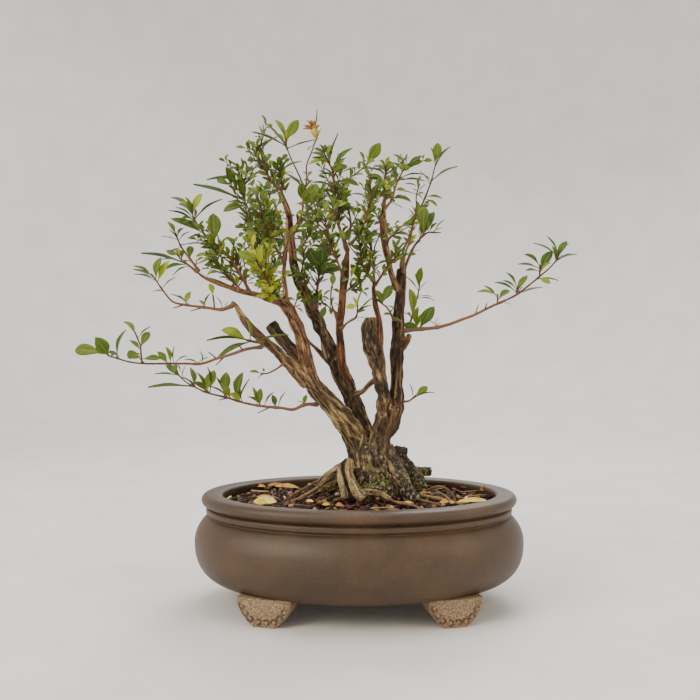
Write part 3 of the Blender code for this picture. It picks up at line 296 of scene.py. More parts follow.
def uneven(points, size, depth):
    """Push points out or in by a soft unevenness of this size and depth."""
    for point in points:
        shift = noise.noise(point / size) * depth
        point += Vector((point.x, point.y, 0)).normalized() * shift


def post(centre, radius, low, high, sides=48):
    """An upright round cutter."""
    turn = 2 * pi / sides
    return stack([[Vector((centre[0] + radius * cos(i * turn), centre[1] + radius * sin(i * turn), up))
        for i in range(sides)] for up in (low, high)])


def applied(piece):
    """The mesh that the object's modifiers make; the modifiers are removed."""
    evaluated = piece.evaluated_get(bpy.context.evaluated_depsgraph_get())
    mesh = bpy.data.meshes.new_from_object(evaluated)
    piece.modifiers.clear()
    piece.data = mesh
    return mesh


def foot_ring():
    """Points (across, up) round the foot's outline at even steps, from its lower right corner."""
    corners = FOOT_OUTLINE + [(-across, up) for across, up in reversed(FOOT_OUTLINE)]
    corners.append(corners[0])
    ring = []
    for (x1, z1), (x2, z2) in zip(corners, corners[1:]):
        count = max(round(hypot(x2 - x1, z2 - z1) / 1.1), 1)
        ring += [(x1 + (x2 - x1) * k / count, z1 + (z2 - z1) * k / count) for k in range(count)]
    return ring


def curl_places(ring):
    """Middles of the curls pressed along the foot's lower border."""
    border = [(x, z) for x, z in ring if z < 13.5]
    border.sort(key=lambda place: (place[0], place[1] if place[0] > 0 else -place[1]))
    places = []
    for x, z in border:
        inner = Vector((x * 0.82, 8 + (z - 8) * 0.66))
        if not places or (inner - places[-1]).length > CURL_SPACING * 0.8:
            places.append(inner)
    return places


def foot_relief(x, z, curls):
    """How far the foot's face stands out: a raised panel inside a border of hollow curls."""
    panel = 0.7 / (1 + exp((hypot(x / 9.5, (z - 12.5) / 7) - 1) * 9))
    relief = panel + 0.25 * noise.noise(Vector((x * 0.9, z * 0.9, 3)))
    for number, curl in enumerate(curls):
        offset = Vector((x, z)) - curl
        gap = abs(offset.length - CURL_RADIUS)
        opening = cos(atan2(offset.y, offset.x) - number * 0.7 - 1)
        relief -= 0.85 * exp(-(gap / 0.42) ** 2) * (1 if opening < 0.55 else 0.25)
        relief += 0.45 * exp(-(offset.length / 0.6) ** 2)
    return relief


def foot_solid(side, end):
    """One foot: points, faces and how hollow each point lies."""
    ring = foot_ring()
    curls = curl_places(ring)
    spin = Matrix.Rotation(radians(FOOT_TURN) * side * -end, 3, "Z")
    centre = Vector((side * FOOT_SPACING[0] / 2, end * FOOT_SPACING[1] / 2, 0))
    face, edge = FOOT_DEPTH / 2, FOOT_DEPTH / 2 - FOOT_ROUNDING
    levels = [(0.04 + 0.92 * i / 20, -face) for i in range(21)]
    levels += [(0.985, -face + 0.5), (1.0, -edge)]
    levels += [(1.0, -edge + 2 * edge * i / 6) for i in range(1, 7)]
    levels += [(0.985, face - 0.5), (0.95, face), (0.6, face), (0.2, face)]
    rings, hollow = [], []
    for share, back in levels:
        made = []
        for x, z in ring:
            across, up = x * share, 8 + (z - 8) * share
            relief = foot_relief(across, up, curls) if back == -face else 0
            depth = (back - relief) * (1 if end < 0 else -1)
            made.append(centre + spin @ Vector((across, depth, max(up, 0))))
            hollow.append(min(max(0.35 - relief, 0), 1) if back == -face else 0.2)
        rings.append(made)
    points, faces = stack(rings)
    if end < 0:
        faces = [face[::-1] for face in faces]
    return points, faces, hollow


def join_solids(piece, solids, surface, attribute):
    """Add closed solids (points, faces, values) to a piece, with a material and an attribute."""
    work = bmesh.new()
    work.from_mesh(piece.data)
    layer = work.verts.layers.float.get(attribute) or work.verts.layers.float.new(attribute)
    piece.data.materials.append(surface)
    for points, faces, values in solids:
        made = [work.verts.new(to_frame(point)) for point in points]
        for vertex, value in zip(made, values):
            vertex[layer] = value
        for face in faces:
            added = work.faces.new([made[i] for i in face])
            added.material_index = len(piece.data.materials) - 1
            added.smooth = True
    bmesh.ops.recalc_face_normals(work, faces=work.faces)
    work.to_mesh(piece.data)
    work.free()


# Unglazed stoneware clay, smoothed with a wet sponge: a close brown skin with a faint sheen, cloudy
# from the fire, with 0.5 mm grit, faint wiping lines round the belly and pale dust in the grooves.
clay, tree, shader, coords = new_surface("unglazed brown stoneware", 0.5, 0.5)
clouds = add_node(tree, "TexNoise", {"Vector": coords, "Scale": 1000 / 45, "Detail": 5.0, "Roughness": 0.6})
grit = add_node(tree, "TexNoise", {"Vector": coords, "Scale": 1000 / 0.9, "Detail": 3.0})
stretched = add_node(tree, "Mapping", {"Vector": coords, "Scale": (18, 18, 420)})
wiping = add_node(tree, "TexNoise", {"Vector": stretched, "Scale": 1.0, "Detail": 4.0})
body = add_node(tree, "ValToRGB", {"Fac": clouds}, [(0.3, "463119"), (0.7, "6B502E"), (0.52, "573E22")])
grains = add_node(tree, "ValToRGB", {"Fac": grit}, [(0.34, "6E6A66"), (0.66, "A09C98"), (0.5, "808080")])
speckled = add_node(tree, "MixRGB", {"Fac": 0.6, "Color1": body, "Color2": grains}, blend_type="OVERLAY")
wiped = add_node(tree, "ValToRGB", {"Fac": wiping}, [(0.35, "767676"), (0.65, "8A8A8A")])
streaked = add_node(tree, "MixRGB", {"Fac": 0.35, "Color1": speckled, "Color2": wiped}, blend_type="OVERLAY")
sheen = add_node(tree, "MapRange", {"Value": clouds, "From Min": 0.3, "From Max": 0.7, "To Min": 0.4,
    "To Max": 0.58})
relief = add_node(tree, "Math", {0: grit, 1: wiping}, operation="ADD")
finish_surface(tree, shader, streaked, relief, 0.12, sheen)

# Raw mould-pressed clay of the feet: paler, pinkish and dusty, with painted shade in the hollows of its
# relief.
raw_clay, tree, shader, coords = new_surface("raw pressed clay", 0.85, 0.3)
dust = add_node(tree, "TexNoise", {"Vector": coords, "Scale": 1000 / 0.9, "Detail": 6.0})
hollow = add_node(tree, "Attribute", attribute_name="hollow")
tone = add_node(tree, "ValToRGB", {"Fac": dust}, [(0.3, "5F4C3A"), (0.72, "B39B80"), (0.5, "8B755C")])
# Painted shade: the hollows of each foot's relief are darkened towards dark brown.
hollow_shade = add_node(tree, "MapRange", {"Value": hollow.outputs["Fac"], "From Min": 0.2, "From Max": 0.9,
    "To Max": 0.85})
hollow_shaded = add_node(tree, "MixRGB", {"Fac": hollow_shade, "Color1": tone, "Color2": linear("4B382B")})
finish_surface(tree, shader, hollow_shaded, dust, 0.25)

rings = [oval(out, up) for out, up in pot_outline()]
for ring in rings:
    uneven(ring, 38.0, 0.3)
pot_body = add_mesh("pot_body", *stack(rings), clay)
group = bpy.data.collections.new("cutters")
for side in (-1, 1):
    cutter = add_mesh("cutter", *post((side * DRAIN_SPACING / 2, 0), DRAIN_DIAMETER / 2, 5, 30))
    bpy.context.scene.collection.objects.unlink(cutter)
    group.objects.link(cutter)
holes = pot_body.modifiers.new("drain holes", "BOOLEAN")
holes.operand_type = "COLLECTION"
holes.collection = group
holes.solver = "EXACT"
applied(pot_body)
for cutter in list(group.objects):
    bpy.data.objects.remove(cutter)
join_solids(pot_body, [foot_solid(side, end) for side in (-1, 1) for end in (-1, 1)], raw_clay, "hollow")
pot_body.data.set_sharp_from_angle(angle=radians(50))
hand_over(pot_body, "pot_clay", "pot")

# The drain screens. Two squares of black plastic mesh, each laid over a drain hole before the pot was
# filled, so that water runs out and the soil doesn't wash away.
screen_plastic, tree, shader, coords = new_surface("black polyethylene mesh", 0.5)
scuffs = add_node(tree, "TexNoise", {"Vector": coords, "Scale": 1000 / 3, "Detail": 5.0})
tone = add_node(tree, "ValToRGB", {"Fac": scuffs}, [(0.35, "1C1D1A"), (0.75, "3A382F")])
finish_surface(tree, shader, tone, scuffs, 0.05)
for name in ("drain_screen_left", "drain_screen_right"):
    for place in range(len(frame["nodes"][name].material_slots)):
        frame["nodes"][name].material_slots[place].material = screen_plastic

# The soil. A moist mix of composted bark, fine grit and straw that fills the pot to just under its
# lip, heaped round the trunk. Its grains are strewn over a fine bed, larger ones on top of smaller.
SOIL_HEIGHT = 61.0
SOIL_CLEAR = 0.3
TRUNK_PLACE = (10.0, 0.0)
SOIL_SIDE = [(71, 19), (78, 20.2), (84.4, 23), (88.4, 27.6), (91, 33), (91.6, 39), (91, 46), (88, 52),
    (84.2, 58)]
BED_DROP = 1.2
BED_LUMPS = 1.5
BACK_SHARE = 0.88
BED_STEPS = 160
BED_RINGS = 46


def soil_height(x, y):
    """The soil's level: nearly flat, heaped up round the trunk and higher behind its left."""
    heap = 7.5 * exp(-((x - 8) / 34) ** 2 - ((y + 2) / 26) ** 2)
    shoulder = 6.0 * exp(-((x + 12) / 16) ** 2 - ((y - 8) / 16) ** 2)
    return SOIL_HEIGHT + heap + shoulder


def bed_height(x, y):
    """The fine bed between the larger grains."""
    lumps = noise.fractal(Vector((x * 0.16, y * 0.16, 0)), 0.8, 2.0, 4)
    return soil_height(x, y) - BED_DROP + BED_LUMPS * lumps


def bed_rings():
    """The soil's top from its edge to its middle."""
    edge = MOUTH_LENGTH / 2 - SOIL_CLEAR - 0.3
    rings = []
    for i in range(BED_RINGS):
        share = 1 - i / BED_RINGS
        ring = []
        for point in oval(edge, 0, BED_STEPS):
            x, y = point.x * share, point.y * share
            ring.append(Vector((x, y, bed_height(x, y))))
        rings.append(ring)
    return rings


def convex_stone(name, draw, size, corners, surface):
    """A broken grain: the hull of random places on an ellipsoid of this size."""
    work = bmesh.new()
    for _ in range(corners):
        direction = Vector([draw.gauss(0, 1) for _ in range(3)]).normalized()
        reach = draw.uniform(0.8, 1.1)
        work.verts.new(Vector([direction[i] * size[i] * reach / 2 for i in range(3)]) * MM)
    hull = bmesh.ops.convex_hull(work, input=work.verts)
    bmesh.ops.delete(work, geom=[part for part in hull["geom_interior"]
        if isinstance(part, bmesh.types.BMVert)], context="VERTS")
    mesh = bpy.data.meshes.new(name)
    work.to_mesh(mesh)
    work.free()
    mesh.materials.append(surface)
    return bpy.data.objects.new(name, mesh)


def bent_straw(name, draw, length, radius, bend, surface):
    """A thin dry stalk or rootlet that lies down, bent in a random way."""
    steps, sides = 7, 5
    turn, rise = draw.uniform(-bend, bend), draw.uniform(0, bend / 3)
    rings = []
    place, heading = Vector((-length / 2, 0, 0)), 0.0
    for i in range(steps + 1):
        across = Vector((-sin(heading), cos(heading), 0))
        thick = radius * (1 - 0.5 * i / steps)
        rings.append([(place + across * thick * cos(2 * pi * k / sides) + Vector((0, 0, thick
            * sin(2 * pi * k / sides)))) * MM for k in range(sides)])
        step = Vector((cos(heading), sin(heading), 0)) * length / steps
        place = place + step + Vector((0, 0, rise * sin(pi * i / steps) * 0.5))
        heading += turn / steps + draw.uniform(-0.25, 0.25) * bend
    points, faces = stack(rings)
    mesh = bpy.data.meshes.new(name)
    mesh.from_pydata(points, [], [face[::-1] for face in faces])
    mesh.materials.append(surface)
    return bpy.data.objects.new(name, mesh)


def node_group(name, inputs):
    """A geometry node tree with these inputs (name: kind) and one output, and its input sockets."""
    tree = bpy.data.node_groups.new(name, "GeometryNodeTree")
    for item, kind in inputs.items():
        tree.interface.new_socket(item, in_out="INPUT", socket_type="NodeSocket" + kind)
    tree.interface.new_socket("Made", in_out="OUTPUT", socket_type="NodeSocketGeometry")
    return tree, add_node(tree, "NodeGroupInput").outputs


def strewn_tree():
    """Geometry nodes that strew a collection's pieces over a surface and lean them at random."""
    tree, given = node_group("strewn grains", {"Ground": "Geometry", "Grains": "Collection",
        "Spacing": "Float", "Per square metre": "Float", "Smallest": "Float", "Largest": "Float",
        "Lean": "Float", "Lift": "Float", "Seed": "Int", "Finish": "Material"})
    room = add_node(tree, "GeometryNodeInputNamedAttribute", {"Name": "room"}, data_type="FLOAT")
    spread = add_node(tree, "GeometryNodeDistributePointsOnFaces", {"Mesh": given["Ground"],
        "Distance Min": given["Spacing"], "Density Max": given["Per square metre"], "Density Factor": room,
        "Seed": given["Seed"]}, distribute_method="POISSON")
    pieces = add_node(tree, "GeometryNodeCollectionInfo", {"Collection": given["Grains"],
        "Separate Children": True, "Reset Children": True})
    back = add_node(tree, "Math", {0: given["Lean"], 1: -1.0}, operation="MULTIPLY")
    least = add_node(tree, "CombineXYZ", {"X": back, "Y": back, "Z": 0.0})
    most = add_node(tree, "CombineXYZ", {"X": given["Lean"], "Y": given["Lean"], "Z": 2 * pi})
    tilt = add_node(tree, "FunctionNodeRandomValue", {0: least, 1: most, "Seed": given["Seed"]},
        data_type="FLOAT_VECTOR")
    turn = add_node(tree, "FunctionNodeEulerToRotation", {"Euler": tilt.outputs[0]})
    leaning = add_node(tree, "FunctionNodeRotateRotation", {"Rotation": spread.outputs["Rotation"],
        "Rotate By": turn}, rotation_space="LOCAL")
    size = add_node(tree, "FunctionNodeRandomValue", {2: given["Smallest"], 3: given["Largest"],
        "Seed": given["Seed"]}, data_type="FLOAT")
    lift = add_node(tree, "CombineXYZ", {"Z": given["Lift"]})
    raised = add_node(tree, "GeometryNodeSetPosition", {"Geometry": spread, "Offset": lift})
    placed = add_node(tree, "GeometryNodeInstanceOnPoints", {"Points": raised, "Instance": pieces,
        "Pick Instance": True, "Rotation": leaning, "Scale": size.outputs[1]})
    chance = add_node(tree, "FunctionNodeRandomValue", {2: 0.0, 3: 1.0, "Seed": 7}, data_type="FLOAT")
    tinted = add_node(tree, "GeometryNodeStoreNamedAttribute", {"Geometry": placed, "Name": "tint",
        "Value": chance.outputs[1]}, data_type="FLOAT", domain="INSTANCE")
    real = add_node(tree, "GeometryNodeRealizeInstances", {"Geometry": tinted})
    finished = add_node(tree, "GeometryNodeSetMaterial", {"Geometry": real, "Material": given["Finish"]})
    add_node(tree, "NodeGroupOutput", {"Made": finished})
    return tree


def run_nodes(name, mesh, tree, values):
    """The plain mesh object that a node tree makes of a mesh, given its inputs by name."""
    piece = bpy.data.objects.new(name, mesh)
    bpy.context.scene.collection.objects.link(piece)
    step = piece.modifiers.new("nodes", "NODES")
    step.node_group = tree
    for item in tree.interface.items_tree:
        if item.in_out == "INPUT" and item.name in values:
            step[item.identifier] = values[item.name]
    applied(piece)
    return piece


def strew(name, ground, grains, surface, smooth, spacing, density, smallest, largest, lean, lift, seed):
    """Strew grains over the ground as one piece; spacing and lift in mm, lean in degrees."""
    group = bpy.data.collections.new(name)
    for grain in grains:
        group.objects.link(grain)
    given = {"Grains": group, "Finish": surface, "Spacing": spacing * MM, "Per square metre": density,
        "Smallest": smallest, "Largest": largest, "Lean": radians(lean), "Lift": lift * MM, "Seed": seed}
    piece = run_nodes(name, ground, strewn_grains, given)
    piece.data.polygons.foreach_set("use_smooth", [smooth] * len(piece.data.polygons))
    for grain in grains:
        bpy.data.objects.remove(grain)
    hand_over(piece, "potting_soil")
    return piece


def tinted_surface(name, roughness, colours, size, depth, specular=0.3):
    """A natural stuff whose pieces differ in colour (ramp stops), mottled and rough at this size in mm."""
    surface, tree, shader, coords = new_surface(name, roughness, specular)
    tint = add_node(tree, "Attribute", attribute_name="tint")
    mottle = add_node(tree, "TexNoise", {"Vector": coords, "Scale": 1000 / size, "Detail": 5.0,
        "Roughness": 0.65})
    shift = add_node(tree, "Math", {0: mottle, 1: 0.8, 2: -0.4}, operation="MULTIPLY_ADD")
    choice = add_node(tree, "Math", {0: tint.outputs["Fac"], 1: shift}, operation="ADD", use_clamp=True)
    ramp = add_node(tree, "ValToRGB", {"Fac": choice}, colours)
    finish_surface(tree, shader, ramp, mottle, depth)
    return surface


# Moist soil: fine dark crumbs of composted bark, nearly black in the hollows, rusty where drier.
moist_soil = tinted_surface("moist bark soil", 0.95, [(0.2, "100906"), (0.8, "432618"), (0.5, "25140D")], 2.4,
    0.5)
# Composted pine bark: red-brown flakes, some purplish, some grey and dry, dull with a rough break.
pine_bark = tinted_surface("composted pine bark", 0.8, [(0.0, "0B0604"), (1.0, "80603F"), (0.35, "20110B"),
    (0.62, "3A2115"), (0.84, "543623")], 1.6, 0.3)
# River grit: rounded grains, tan to pinkish and a few grey, matt with a faint gloss when damp.
river_grit = tinted_surface("river grit", 0.6, [(0.0, "4C301D"), (1.0, "BC9C72"), (0.4, "6E4B2F"),
    (0.7, "8A6542")], 1.2, 0.12, 0.5)
# Scoria: porous purplish red-brown lava grains, dull.
scoria = tinted_surface("scoria", 0.9, [(0.0, "220F12"), (1.0, "6A3F48"), (0.5, "41222A")], 0.8, 0.35)
# Dry stalks and rootlets: straw-coloured, silvery or brown, with a faint silky gloss.
dry_stalk = tinted_surface("dry stalk", 0.55, [(0.0, "341D10"), (1.0, "C6A66D"), (0.45, "5C3C22"),
    (0.8, "8E6B3F")], 2.0, 0.08, 0.45)
# Crumbs of dead leaf: ochre, tan and pale yellow.
leaf_crumb = tinted_surface("dead leaf crumbs", 0.65, [(0.0, "7A4E22"), (1.0, "E9D68E"), (0.5, "B98A3C")],
    1.8, 0.1)

strewn_grains = strewn_tree()
top = bed_rings()
side = [oval(out - SOIL_CLEAR, up, BED_STEPS) for out, up in SOIL_SIDE]
for point in side[0]:
    point.z += SOIL_CLEAR
soil_body = add_mesh("soil_bed", *stack(side + top), moist_soil)
hand_over(soil_body, "potting_soil", "soil")

points, faces = stack(top)
ground = add_mesh("ground", points, faces[1:-1]).data
room = ground.attributes.new("room", "FLOAT", "POINT")
for vertex, value in zip(ground.vertices, room.data):
    place = from_frame(vertex.co)
    from_trunk = hypot(place.x - TRUNK_PLACE[0], place.y - TRUNK_PLACE[1])
    rim = hypot(place.x / (MOUTH_LENGTH / 2), place.y / (MOUTH_LENGTH / 2 - POT_NARROWER / 2))
    value.value = (1.0 if from_trunk > 17 else 0.0) * (1.0 if rim < 0.965 else 0.0)
bpy.data.objects.remove(bpy.data.objects["ground"])

draw = random.Random("grains")
# What is strewn: its number of forms, their size and corners (none: straws), stuff and smoothness, then
# spacing, number per square metre, least and greatest scale, lean, lift and seed.
STREWN = {"bark_crumbs": (6, (2.6, 1.9, 1.2), 12, pine_bark, False, 1.0, 160000, 0.6, 1.2, 35, 0.0, 11),
    "bark_flakes": (7, (5.6, 3.4, 1.5), 13, pine_bark, False, 2.3, 52000, 0.55, 1.3, 34, 0.6, 12),
    "bark_chunks": (5, (7.6, 4.2, 2.6), 15, pine_bark, False, 5.5, 12000, 0.6, 1.3, 30, 1.2, 13),
    "grit_grains": (6, (4.2, 3.5, 2.8), 34, river_grit, True, 6.0, 6500, 0.5, 1.0, 40, 1.0, 24),
    "scoria_grains": (4, (5.4, 4.4, 3.2), 18, scoria, False, 9.0, 3600, 0.6, 1.15, 30, 1.2, 15),
    "dry_stalks": (8, None, 0, dry_stalk, True, 5.0, 12000, 0.6, 1.2, 14, 1.7, 16),
    "leaf_crumbs": (5, (4.4, 2.0, 0.4), 9, leaf_crumb, False, 8.0, 5200, 0.6, 1.3, 22, 1.9, 17),}
for name, (count, size, corners, surface, *rest) in STREWN.items():
    forms = [convex_stone(f"{name}_{i}", draw, size, corners, surface) if corners
        else bent_straw(f"{name}_{i}", draw, draw.uniform(7, 15), draw.uniform(0.22, 0.42), 0.5, surface)
        for i in range(count)]
    strew(name, ground, forms, surface, *rest)

PEBBLES = [(-53.7, 69.9, 0.9), (-42, 64.4, 1.0), (-37.8, 65.1, 0.85), (-41.5, 57.1, 0.85), (-23.8, 60.2, 0.9),
    (51.2, 57.7, 0.8), (56.7, 59, 0.9), (20, 58, 0.7), (-64, 63, 0.7), (-10, 58.5, 0.8), (-30, 70, 0.8)]
CINDERS = [(3.7, 57.7, 1.5), (-6, 58, 1.1), (-50, 61, 0.9), (30, 62, 0.9)]
STALKS = [(-34.5, 57.5, -22, 1.3), (-22.6, 64.8, -28, 1.3), (-60.4, 66, -25, 1.2), (-22, 74, 40, 1.0),
    (70, 66, 20, 1.3), (40, 70, -50, 1.2), (10, 57.5, 5, 1.2)]
ROOTLETS = [[(40, -6, 3), (45, -10, 7), (50, -12, 8), (55, -12, 5), (58, -14, -1)],
    [(42, -10, 1), (47, -14, 5), (52, -15, 3), (56, -18, -1)], [(36, -14, 2), (46, -18, 2.5), (54, -20, 1.5),
    (62, -20, -1)], [(30, -20, 2), (36, -24, 2), (44, -27, 1.4), (52, -28, -1)],
    [(12, -26, 2.5), (22, -30, 1.8), (30, -33, 1.4), (38, -33, -1)], [(-20, -4, 5), (-28, -8, 3.4),
    (-36, -12, 1.6), (-44, -12, -1)], [(-22, 6, 5), (-30, 6, 4), (-38, 4, 2), (-46, 6, -1)]]


def resting(right, up):
    """The place on the soil seen at (right, up) in the trunk's plane, short of the pot's far lip."""
    place = Vector((right, 0, SOIL_HEIGHT))
    reach_back = (MOUTH_LENGTH - POT_NARROWER) / 2
    far = BACK_SHARE * reach_back * sqrt(max(1 - (2 * right / MOUTH_LENGTH) ** 2, 0.05))
    for _ in range(6):
        reach = (EYE[2] - place.z) / (EYE[2] - up)
        place.x, place.y = EYE[0] + (right - EYE[0]) * reach, min(EYE[1] * (reach - 1), far)
        place.z = soil_height(place.x, place.y) + BED_DROP
    return place


def set_down(name, surface, things):
    """One piece of loose things, each (object, right, up, turn in degrees, size), where they are seen."""
    work = bmesh.new()
    tint = work.verts.layers.float.new("tint")
    for number, (thing, right, up, turn, size) in enumerate(things):
        made = len(work.verts)
        thing.data.transform(Matrix.Translation(to_frame(resting(right, up)))
            @ Matrix.Rotation(radians(turn), 4, "Z") @ Matrix.Scale(size, 4))
        work.from_mesh(thing.data)
        work.verts.ensure_lookup_table()
        for vertex in work.verts[made:]:
            vertex[tint] = 0.45 + 0.5 * sin(number * 2.4) ** 2
        bpy.data.objects.remove(thing)
    piece = add_mesh(name, [], [], surface)
    work.to_mesh(piece.data)
    piece.data.polygons.foreach_set("use_smooth", [surface != scoria] * len(piece.data.polygons))
    work.free()
    hand_over(piece, "potting_soil")


set_down("pale_pebbles", river_grit, [(convex_stone("pebble", draw, (4.2, 3.6, 3), 40, river_grit), right, up,
    40, size) for right, up, size in PEBBLES])
set_down("scoria_lumps", scoria, [(convex_stone("lump", draw, (5, 4, 3.4), 22, scoria), right, up, 10, size)
    for right, up, size in CINDERS])
set_down("pale_stalks", dry_stalk, [(bent_straw("stalk", draw, 11, 0.45, 0.4, dry_stalk), right, up, turn,
    size) for right, up, turn, size in STALKS])

# Cushion moss: short upright sprigs, olive with straw-brown tips, matt.
moss_sprig = tinted_surface("cushion moss", 0.85, [(0.0, "2A260C"), (1.0, "A3924A"), (0.45, "5A5220"),
    (0.8, "80722F")], 0.9, 0.1)
mound = ground.copy()
for vertex, value in zip(mound.vertices, mound.attributes["room"].data):
    place = from_frame(vertex.co)
    near = hypot((place.x + 13) / 12, (place.y - 6) / 12) + 0.5 * noise.noise(place * 0.25)
    ringed = place.y > -6 and abs(hypot(place.x - 10, place.y) - 19) < 1.5
    value.value = 1.0 if near < 1 or ringed else 0.0
sprigs = [bent_straw(f"sprig_{i}", draw, draw.uniform(1.6, 2.8), 0.2, 0.6, moss_sprig) for i in range(5)]
strew("moss_cushion", mound, sprigs, moss_sprig, True, 0.55, 2500000, 0.6, 1.2, 75, 0.7, 31)

# The trunk. Grown wood in one piece: a mossy root base with surface roots, three limbs that fork,
# old dead stubs, smoother red-brown branches. Its bark is split lengthwise and peels in strips.
WOOD_STEP = 1.2
WOOD_GRID = 0.68
LIVING_ENDS = ("low_left_limb", "long_left_branch", "pale_upright", "brown_upright", "red_upright",
    "thin_red_upright", "yellow_upright")
CUT_ENDS = ("dead_left_stub", "middle_stub", "knobby_stub", "right_short_stub", "cut_root")
END_TAPER = 16.0
BLEND_ROUNDS = 30
ROOT_LUMPS = 1.3
SEAM_REACH = 3.5
SEAM_WIDTH = 1.1
SEAM_DEPTH = 2.2
ROOTS = {
    "root_base": [(10, 30, 0, 8), (10, 45, 0, 17), (10, 58, 0, 23), (10, 68, 0, 22), (10, 75, 0, 19.5),
        (9, 82, 0, 16.5), (8, 89, 0, 14), (8, 95, 0, 12)],
    "left_root": [(-6, 84, -4, 4.5), (-13, 79, -8, 3.4), (-19, 75, -10, 2.8), (-25, 69, -12, 2)],
    "front_left_root": [(-8, 84, -8, 3.4), (-11, 78, -16, 2.8), (-10, 71, -22, 2.7), (-8, 61, -27, 2.6)],
    "front_root": [(-7, 84, -9, 4), (-7, 77, -18, 3.2), (-4, 71, -24, 2.9), (-1, 65, -30, 2.9),
        (3, 61, -32, 2.5)],
    "surface_root": [(-1, 65, -29, 2.6), (6, 65.5, -31, 2.3), (13, 64.5, -30, 1.9), (19, 61, -30, 1.5)],
    "dark_lump": [(20, 84, 2, 7), (25, 90, 3, 5), (26, 93, 3, 3)],
    "right_root": [(24, 85, 2, 6), (31, 77, 1, 5.5), (36, 70, 0, 4.8), (42, 60, -1, 3.6)],
    "cut_root": [(30, 77, 4, 3.6), (37, 78, 5, 3.3), (44, 78, 6, 2.9)],
    "front_right_root": [(18, 84, -8, 6), (25, 74, -16, 5), (30, 66, -21, 4), (35, 59, -24, 3)],
}
LIMBS = {
    "left_limb": [(4, 82, 0, 9.5), (-1, 96, -2, 7.3), (-7, 106, -5, 6.6), (-14, 115, -8, 6.2),
        (-20, 122, -10, 5.6), (-26, 128, -12, 5.2), (-30, 135, -14, 4.9), (-33, 141, -14, 4.6)],
    "low_left_limb": [(-31, 132, -15, 4), (-36, 137, -16, 4.2), (-41, 143, -18, 3.9), (-47, 148, -20, 3.4),
        (-53, 154, -22, 3), (-59, 159, -24, 2.8), (-66, 166, -26, 2.5), (-71, 172, -28, 2.2),
        (-75, 179, -29, 2), (-78, 182, -30, 1.6)],
    "dead_left_stub": [(-33, 139, -10, 4), (-38, 147, -7, 4.1), (-44, 155, -5, 3.9), (-49, 161, -3, 3.7),
        (-54, 168, -2, 3.4)],
    "red_limb": [(-30, 135, -14, 4.4), (-32, 146, -14, 4.3), (-34, 155, -12, 4.1), (-37, 164, -12, 3.9),
        (-40, 171, -10, 3.8), (-43, 177, -10, 3.7), (-46, 182, -8, 3.2)],
    "long_left_branch": [(-44, 178, -11, 3), (-49, 182, -13, 2.7), (-56, 184, -15, 2.3), (-62, 186, -17, 2),
        (-71, 188, -20, 1.8), (-80, 191, -23, 1.6), (-88, 194, -26, 1.5), (-95, 197, -28, 1.3),
        (-99, 200, -30, 1.1)],
    "pale_upright": [(-45, 181, -8, 2.2), (-45, 189, -8, 1.7), (-46, 198, -7, 1.4), (-45, 210, -5, 1.3),
        (-45, 221, -3, 1.2), (-44, 229, 0, 1.1), (-44, 235, 3, 1)],
    "middle_limb": [(5, 84, 5, 9), (3, 99, 7, 7.2), (-1, 113, 8, 6), (-5, 124, 10, 5.4), (-9, 133, 12, 5.4),
        (-12, 140, 14, 5.4), (-15, 146, 14, 4.8)],
    "middle_stub": [(-13, 141, 14, 4.6), (-18, 154, 15, 4.3), (-22, 163, 17, 4.2), (-26, 171, 19, 4.1),
        (-30, 179, 20, 3.9), (-32, 185, 20, 3.4)],
    "brown_upright": [(-29, 177, 17, 2.4), (-34, 188, 14, 2.6), (-38, 196, 12, 2.8), (-40, 206, 10, 2.8),
        (-41, 216, 8, 2.6), (-42, 226, 7, 2.4), (-43, 235, 5, 2.2), (-46, 244, 5, 1.8), (-48, 251, 5, 1.5)],
    "red_upright": [(-10, 141, 8, 3), (-11, 152, 5, 2.6), (-12, 165, 3, 2.3), (-11, 175, 2, 2.3),
        (-10, 186, 0, 2.4), (-9, 196, 0, 2.6), (-8, 206, 0, 2.5), (-7, 213, 0, 2)],
    "thin_stick": [(-18, 145, 17, 2.2), (-25, 152, 20, 1.4), (-31, 158, 22, 1.1), (-36, 166, 22, 1),
        (-38, 172, 22, 0.9)],
    "right_limb": [(12, 82, -3, 9), (13, 94, -5, 6.6), (14, 102, -5, 6), (16, 110, -5, 6.4),
        (18, 117, -5, 6)],
    "knobby_stub": [(16, 113, -7, 4.8), (15, 123, -8, 4.3), (14, 132, -10, 4.4), (12, 139, -12, 4.4),
        (10, 147, -14, 4.3), (7, 155, -15, 4.8), (6, 162, -15, 4.5), (7, 168, -15, 3.9), (7, 172, -15, 2.8)],
    "right_upright": [(21, 111, -2, 5.2), (23, 121, 0, 4.4), (23, 131, 2, 4), (23, 141, 3, 4),
        (23, 152, 5, 4), (24, 163, 7, 3.8), (24, 174, 8, 3.6), (25, 185, 10, 3.5), (26, 195, 12, 3.3),
        (26, 202, 12, 3)],
    "thin_red_upright": [(13, 151, -14, 2.2), (13, 161, -12, 1.9), (12, 171, -10, 1.8), (10, 180, -8, 1.7),
        (9, 188, -7, 1.7), (9, 194, -5, 1.8)],
    "yellow_upright": [(23, 189, 8, 2), (20, 198, 5, 1.8), (18, 207, 3, 1.9), (16, 216, 2, 2.2),
        (15, 226, 0, 2.3), (15, 234, 0, 2.2), (15, 240, 0, 1.9)],
    "right_short_stub": [(26, 154, 5, 2.6), (29, 158, 3, 2.3), (31, 162, 2, 1.6)],
    "bridge_twig": [(-4, 125, 7, 2), (2, 127, 3, 1.6), (6, 131, -3, 1.5), (12, 136, -10, 1.7)],
}
# The lower ends of three branches run on inside the wood that they leave.
LIMBS["thin_red_upright"][:0] = [(14.5, 135, -11, 2.2), (14.2, 143, -13, 2.4)]
LIMBS["red_upright"][:0] = [(-5, 130, 10, 2.4)]
LIMBS["right_upright"][:0] = [(14, 96, -4, 3)]

